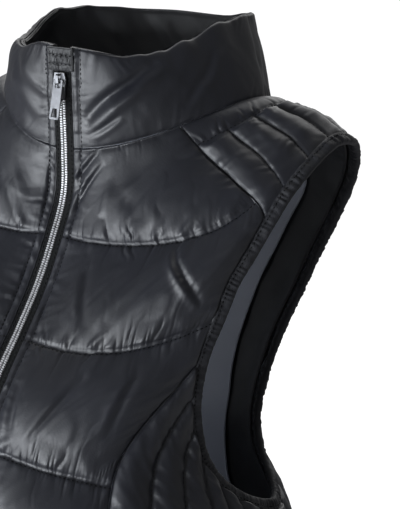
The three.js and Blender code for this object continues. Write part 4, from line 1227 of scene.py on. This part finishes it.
def rounded_loop(corners, radius, pieces=5):
    """A closed outline with rounded corners: at each corner a quadratic bend between the points
    that lie a radius before and after it."""
    corners = np.asarray(corners, float)
    before = unit(np.roll(corners, 1, 0) - corners)
    after = unit(np.roll(corners, -1, 0) - corners)
    t = np.linspace(0, 1, pieces)[None, :, None]
    a, b = (corners + before * radius)[:, None], (corners + after * radius)[:, None]
    return ((1 - t) ** 2 * a + 2 * t * (1 - t) * corners[:, None] + t ** 2 * b).reshape(-1, 2)


def make_pull_tab():
    """The pull tab: a flat die-cast plate with rounded edges, an eye for the bar and a window
    that narrows upwards, cut as a filled flat curve and hung at the slider's bar."""
    w, top, bottom = TAB["width"] / 2, TAB["bar"] / 2, TAB["bar"] / 2 - TAB["length"]
    bevel = TAB["bevel"]
    sill = bottom + TAB_WINDOW["margin"]
    eye = TAB["eye_width"] / 2
    half_top, half_bottom = TAB_WINDOW["top"] / 2, TAB_WINDOW["bottom"] / 2
    loops = [
        rounded_loop([(-w + bevel, top - bevel), (w - bevel, top - bevel),
                      (w - bevel, bottom + bevel), (-w + bevel, bottom + bevel)], TAB["corner"]),
        rounded_loop([(-eye - bevel, -top), (eye + bevel, -top),
                      (eye + bevel, -top - TAB["eye_height"] - bevel),
                      (-eye - bevel, -top - TAB["eye_height"] - bevel)], 0.8),
        rounded_loop([(-half_top - bevel, sill + TAB_WINDOW["height"] + bevel),
                      (half_top + bevel, sill + TAB_WINDOW["height"] + bevel),
                      (half_bottom + bevel, sill - bevel), (-half_bottom - bevel, sill - bevel)], 0.6),
    ]
    curve = bpy.data.curves.new("pull_tab_outline", "CURVE")
    curve.dimensions = "2D"
    curve.fill_mode = "BOTH"
    curve.extrude = (TAB["thick"] / 2 - bevel) * MM
    curve.bevel_depth = bevel * MM
    curve.bevel_resolution = 3
    for loop in loops:
        spline = curve.splines.new("POLY")
        spline.points.add(len(loop) - 1)
        spline.points.foreach_set("co", np.concatenate(
            [loop * MM, np.zeros((len(loop), 1)), np.ones((len(loop), 1))], 1).ravel())
        spline.use_cyclic_u = True
    maker = linked("pull_tab_outline", curve)
    bpy.context.view_layer.update()
    mesh = bpy.data.meshes.new_from_object(maker)
    bpy.data.objects.remove(maker)
    low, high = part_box("pull_tab")
    pivot_z = high[2] - TAB["bar"] / 2 * MM
    centre_y = (low[1] + high[1]) / 2
    mesh.transform(Matrix(((1, 0, 0, 0), (0, 0, -1, centre_y), (0, 1, 0, pivot_z), (0, 0, 0, 1))))
    mesh.materials.clear()
    mesh.materials.append(finish_of("plated"))
    obj = linked("pull_tab_plate", mesh)
    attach(obj, "pull_tab")
    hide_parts("pull_tab")
    for name in ("zip_slider", "zip_box"):
        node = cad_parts[name]
        node.data.materials.clear()
        node.data.materials.append(finish_of("plated"))


# Stage

def camera_axes():
    """The camera's right, up and backward directions from its azimuth, elevation and roll."""
    azimuth, elevation, roll = (np.radians(CAMERA[k]) for k in ("azimuth", "elevation", "roll"))
    back = np.array([np.sin(azimuth) * np.cos(elevation), -np.cos(azimuth) * np.cos(elevation),
                     np.sin(elevation)])
    level = np.array([np.cos(azimuth), np.sin(azimuth), 0.0])
    upright = np.cross(back, level)
    right = level * np.cos(roll) + upright * np.sin(roll)
    up = -level * np.sin(roll) + upright * np.cos(roll)
    return right, up, back


def aimed(place, right, up, back):
    """The matrix of a camera or light at a place, from its three directions."""
    return Matrix.Translation(place) @ Matrix(np.stack([right, up, back], 1).tolist()).to_4x4()


def add_camera():
    """The camera that fits the photograph."""
    right, up, back = camera_axes()
    place = back * CAMERA["distance"] + right * CAMERA["right"] + up * CAMERA["up"]
    data = bpy.data.cameras.new("camera")
    data.sensor_width = SENSOR
    data.lens = CAMERA["focal_px"] * SENSOR / PICTURE_HEIGHT
    data.clip_end = 50.0
    obj = linked("camera", data)
    obj.matrix_world = aimed(place * MM, right, up, back)
    bpy.context.scene.camera = obj


def add_light(name, place, target, width, height, watts):
    """A soft box: a rectangle of light at a place, facing a target."""
    data = bpy.data.lights.new(name, "AREA")
    data.shape = "RECTANGLE"
    data.size, data.size_y, data.energy = width, height, watts
    data.color = (0.91, 0.95, 1.0)
    obj = linked(name, data)
    back = unit(np.array(place) - np.array(target))
    right = unit(np.cross([0, 0, 1.0], back))
    up = np.cross(back, right)
    obj.matrix_world = aimed(place, right, up, back)
    obj.visible_camera = False


def add_sky(strength):
    """A broad light from high behind, which whitens the floor and only grazes the cloth."""
    data = bpy.data.lights.new("sky", "SUN")
    data.energy, data.angle = strength, np.radians(70)
    obj = linked("sky", data)
    obj.rotation_euler = (np.radians(-38), 0, np.radians(25))


def add_floor():
    """A pale paper floor just under the hem."""
    radius, steps = 6.0, 96
    turn = 2 * np.pi * np.arange(steps) / steps
    ring = np.stack([radius * np.cos(turn), radius * np.sin(turn), np.full(steps, FLOOR)], -1)
    mesh = bpy.data.meshes.new("floor")
    mesh.from_pydata([tuple(p) for p in ring], [], [list(range(steps))])
    mesh.materials.append(finish_of("paper"))
    obj = linked("floor", mesh)


def add_world(strength):
    """Pale surroundings that light the garment only dimly, so that black cloth stays black."""
    world = bpy.data.worlds.new("studio")
    world.use_nodes = True
    tree = world.node_tree
    background = tree.nodes["Background"]
    background.inputs["Color"].default_value = linear("#fbfbfc")
    seen = add(tree, "ShaderNodeLightPath").outputs["Is Camera Ray"]
    level = add(tree, "ShaderNodeMapRange", {"Value": seen, "To Min": strength, "To Max": 1.1})
    tree.links.new(level.outputs["Result"], background.inputs["Strength"])
    bpy.context.scene.world = world
    bpy.context.scene.view_settings.view_transform = "Standard"


# Settings

def length_property(name, description, default, low, high):
    """A length setting, in metres."""
    return bpy.props.FloatProperty(name=name, description=description, default=default, min=low,
                                   max=high, unit="LENGTH", subtype="DISTANCE")


class VestSizes(bpy.types.PropertyGroup):
    """Sizes of the quilting that a user would change."""
    front_puff: length_property("Front puff", "How far the channels of the fronts and back swell",
                                0.009, 0.002, 0.02)
    side_puff: length_property("Side puff", "How far the upright channels of the sides swell",
                               0.006, 0.001, 0.015)
    yoke_puff: length_property("Yoke puff", "How far the channels of the yokes swell",
                               0.0045, 0.001, 0.01)
    collar_puff: length_property("Collar puff", "How far the collar's padding swells",
                                 0.0055, 0.001, 0.01)
    pucker_depth: length_property("Pucker depth", "Depth of the gathers beside stitch lines",
                                  0.0013, 0.0, 0.004)
    fold_depth: length_property("Fold depth", "Depth of the soft rolls of slack cloth",
                                0.0009, 0.0, 0.004)


def colour_property(name, description, code):
    """A colour setting whose default is an sRGB hex value."""
    return bpy.props.FloatVectorProperty(name=name, description=description, size=3, min=0.0, max=1.0,
                                         default=linear(code)[:3], subtype="COLOR")


class VestColours(bpy.types.PropertyGroup):
    """Colours of the cloths and the metal."""
    shell: colour_property("Shell", "Nylon of the outside", "#12141c")
    inner: colour_property("Inner nylon", "Nylon of the facings and the collar's inside", "#0b0d12")
    # The lining's default is lighter than its slate grey. It is partly the cloth's own colour and partly
    # painted light, standing in for the light that reaches the inside of the back.
    lining: colour_property("Lining", "Lining of the back", "#a6abb7")
    binding: colour_property("Binding", "Elastic round the armholes", "#18191e")
    metal: colour_property("Metal", "Slider and pull tab", "#797a7d")


class VestStage(bpy.types.PropertyGroup):
    """The studio's light."""
    key_power: bpy.props.FloatProperty(
        name="Key light", description="Power of the large soft box", default=36.0, min=0.0,
        unit="POWER")
    fill_power: bpy.props.FloatProperty(
        name="Fill light", description="Power of the weak soft box on the left", default=5.0,
        min=0.0, unit="POWER")
    sky_strength: bpy.props.FloatProperty(
        name="Sky light", description="Strength of the broad light from high behind", default=1.5,
        min=0.0)
    world_strength: bpy.props.FloatProperty(
        name="Surroundings", description="Strength of the even light from all round", default=0.17,
        min=0.0, subtype="FACTOR")


class VEST_OT_fronts(bpy.types.Operator):
    """Makes the two quilted fronts"""
    bl_idname = "vest.fronts"
    bl_label = "Fronts"

    def execute(self, context):
        for hand in (1, -1):
            make_front(context.scene.vest_sizes, hand)
        return {"FINISHED"}


class VEST_OT_back(bpy.types.Operator):
    """Makes the quilted back"""
    bl_idname = "vest.back"
    bl_label = "Back"

    def execute(self, context):
        make_back(context.scene.vest_sizes)
        return {"FINISHED"}


class VEST_OT_sides(bpy.types.Operator):
    """Makes the two side panels with upright channels"""
    bl_idname = "vest.sides"
    bl_label = "Sides"

    def execute(self, context):
        for hand in (1, -1):
            make_side(context.scene.vest_sizes, hand)
        return {"FINISHED"}


class VEST_OT_yokes(bpy.types.Operator):
    """Makes the two shoulder yokes"""
    bl_idname = "vest.yokes"
    bl_label = "Yokes"

    def execute(self, context):
        for hand in (1, -1):
            make_yoke(context.scene.vest_sizes, hand)
        return {"FINISHED"}


class VEST_OT_collar(bpy.types.Operator):
    """Makes the collar and its inner face"""
    bl_idname = "vest.collar"
    bl_label = "Collar"

    def execute(self, context):
        make_collar(context.scene.vest_sizes)
        make_collar_inner(context.scene.vest_sizes)
        return {"FINISHED"}


class VEST_OT_armholes(bpy.types.Operator):
    """Makes the bindings and facings of the armholes"""
    bl_idname = "vest.armholes"
    bl_label = "Armholes"

    def execute(self, context):
        for hand in (1, -1):
            make_binding(hand)
            make_facing(hand)
        return {"FINISHED"}


class VEST_OT_lining(bpy.types.Operator):
    """Makes the lining of the back"""
    bl_idname = "vest.lining"
    bl_label = "Lining"

    def execute(self, context):
        make_lining()
        return {"FINISHED"}


class VEST_OT_zip(bpy.types.Operator):
    """Makes the zip's tapes, teeth and garage, and finishes its slider and pull tab"""
    bl_idname = "vest.zip"
    bl_label = "Zip"

    def execute(self, context):
        for hand in (1, -1):
            make_tape(hand)
        make_teeth()
        make_garage()
        make_pull_tab()
        return {"FINISHED"}


class VEST_OT_stage(bpy.types.Operator):
    """Sets the camera, the pale floor and the soft studio light"""
    bl_idname = "vest.stage"
    bl_label = "Stage"

    def execute(self, context):
        stage = context.scene.vest_stage
        add_camera()
        add_floor()
        add_world(stage.world_strength)
        middle = (0.0, 0.0, -0.15)
        add_light("key", (-0.42, -1.11, -0.52), middle, 1.3, 0.7, stage.key_power)
        add_light("fill", (-1.4, -1.3, 0.1), middle, 1.2, 1.2, stage.fill_power)
        add_sky(stage.sky_strength)
        return {"FINISHED"}


class VEST_PT_sidebar(bpy.types.Panel):
    """Lists the vest's sizes, light and pieces in the sidebar"""
    bl_label = "Puffer vest"
    bl_idname = "VEST_PT_sidebar"
    bl_space_type = "VIEW_3D"
    bl_region_type = "UI"
    bl_category = "Vest"

    def draw(self, context):
        scene = context.scene
        for settings in (scene.vest_sizes, scene.vest_colours, scene.vest_stage):
            for name in settings.__annotations__:
                self.layout.prop(settings, name)
        for operator in OPERATORS:
            self.layout.operator(operator.bl_idname)


OPERATORS = (VEST_OT_fronts, VEST_OT_back, VEST_OT_sides, VEST_OT_yokes, VEST_OT_collar,
             VEST_OT_armholes, VEST_OT_lining, VEST_OT_zip, VEST_OT_stage)
CLASSES = (VestSizes, VestColours, VestStage) + OPERATORS + (VEST_PT_sidebar,)


def register():
    """Registers the classes and hangs the settings on the scene."""
    for each in CLASSES:
        bpy.utils.register_class(each)
    bpy.types.Scene.vest_sizes = bpy.props.PointerProperty(type=VestSizes)
    bpy.types.Scene.vest_colours = bpy.props.PointerProperty(type=VestColours)
    bpy.types.Scene.vest_stage = bpy.props.PointerProperty(type=VestStage)


def unregister():
    """Takes the settings and the classes away again."""
    del bpy.types.Scene.vest_stage
    del bpy.types.Scene.vest_colours
    del bpy.types.Scene.vest_sizes
    for each in reversed(CLASSES):
        bpy.utils.unregister_class(each)


def main():
    """Makes every piece and the stage."""
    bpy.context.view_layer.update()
    register()
    for operator in OPERATORS:
        group, name = operator.bl_idname.split(".")
        getattr(getattr(bpy.ops, group), name)()


if __name__ == "__main__":
    main()
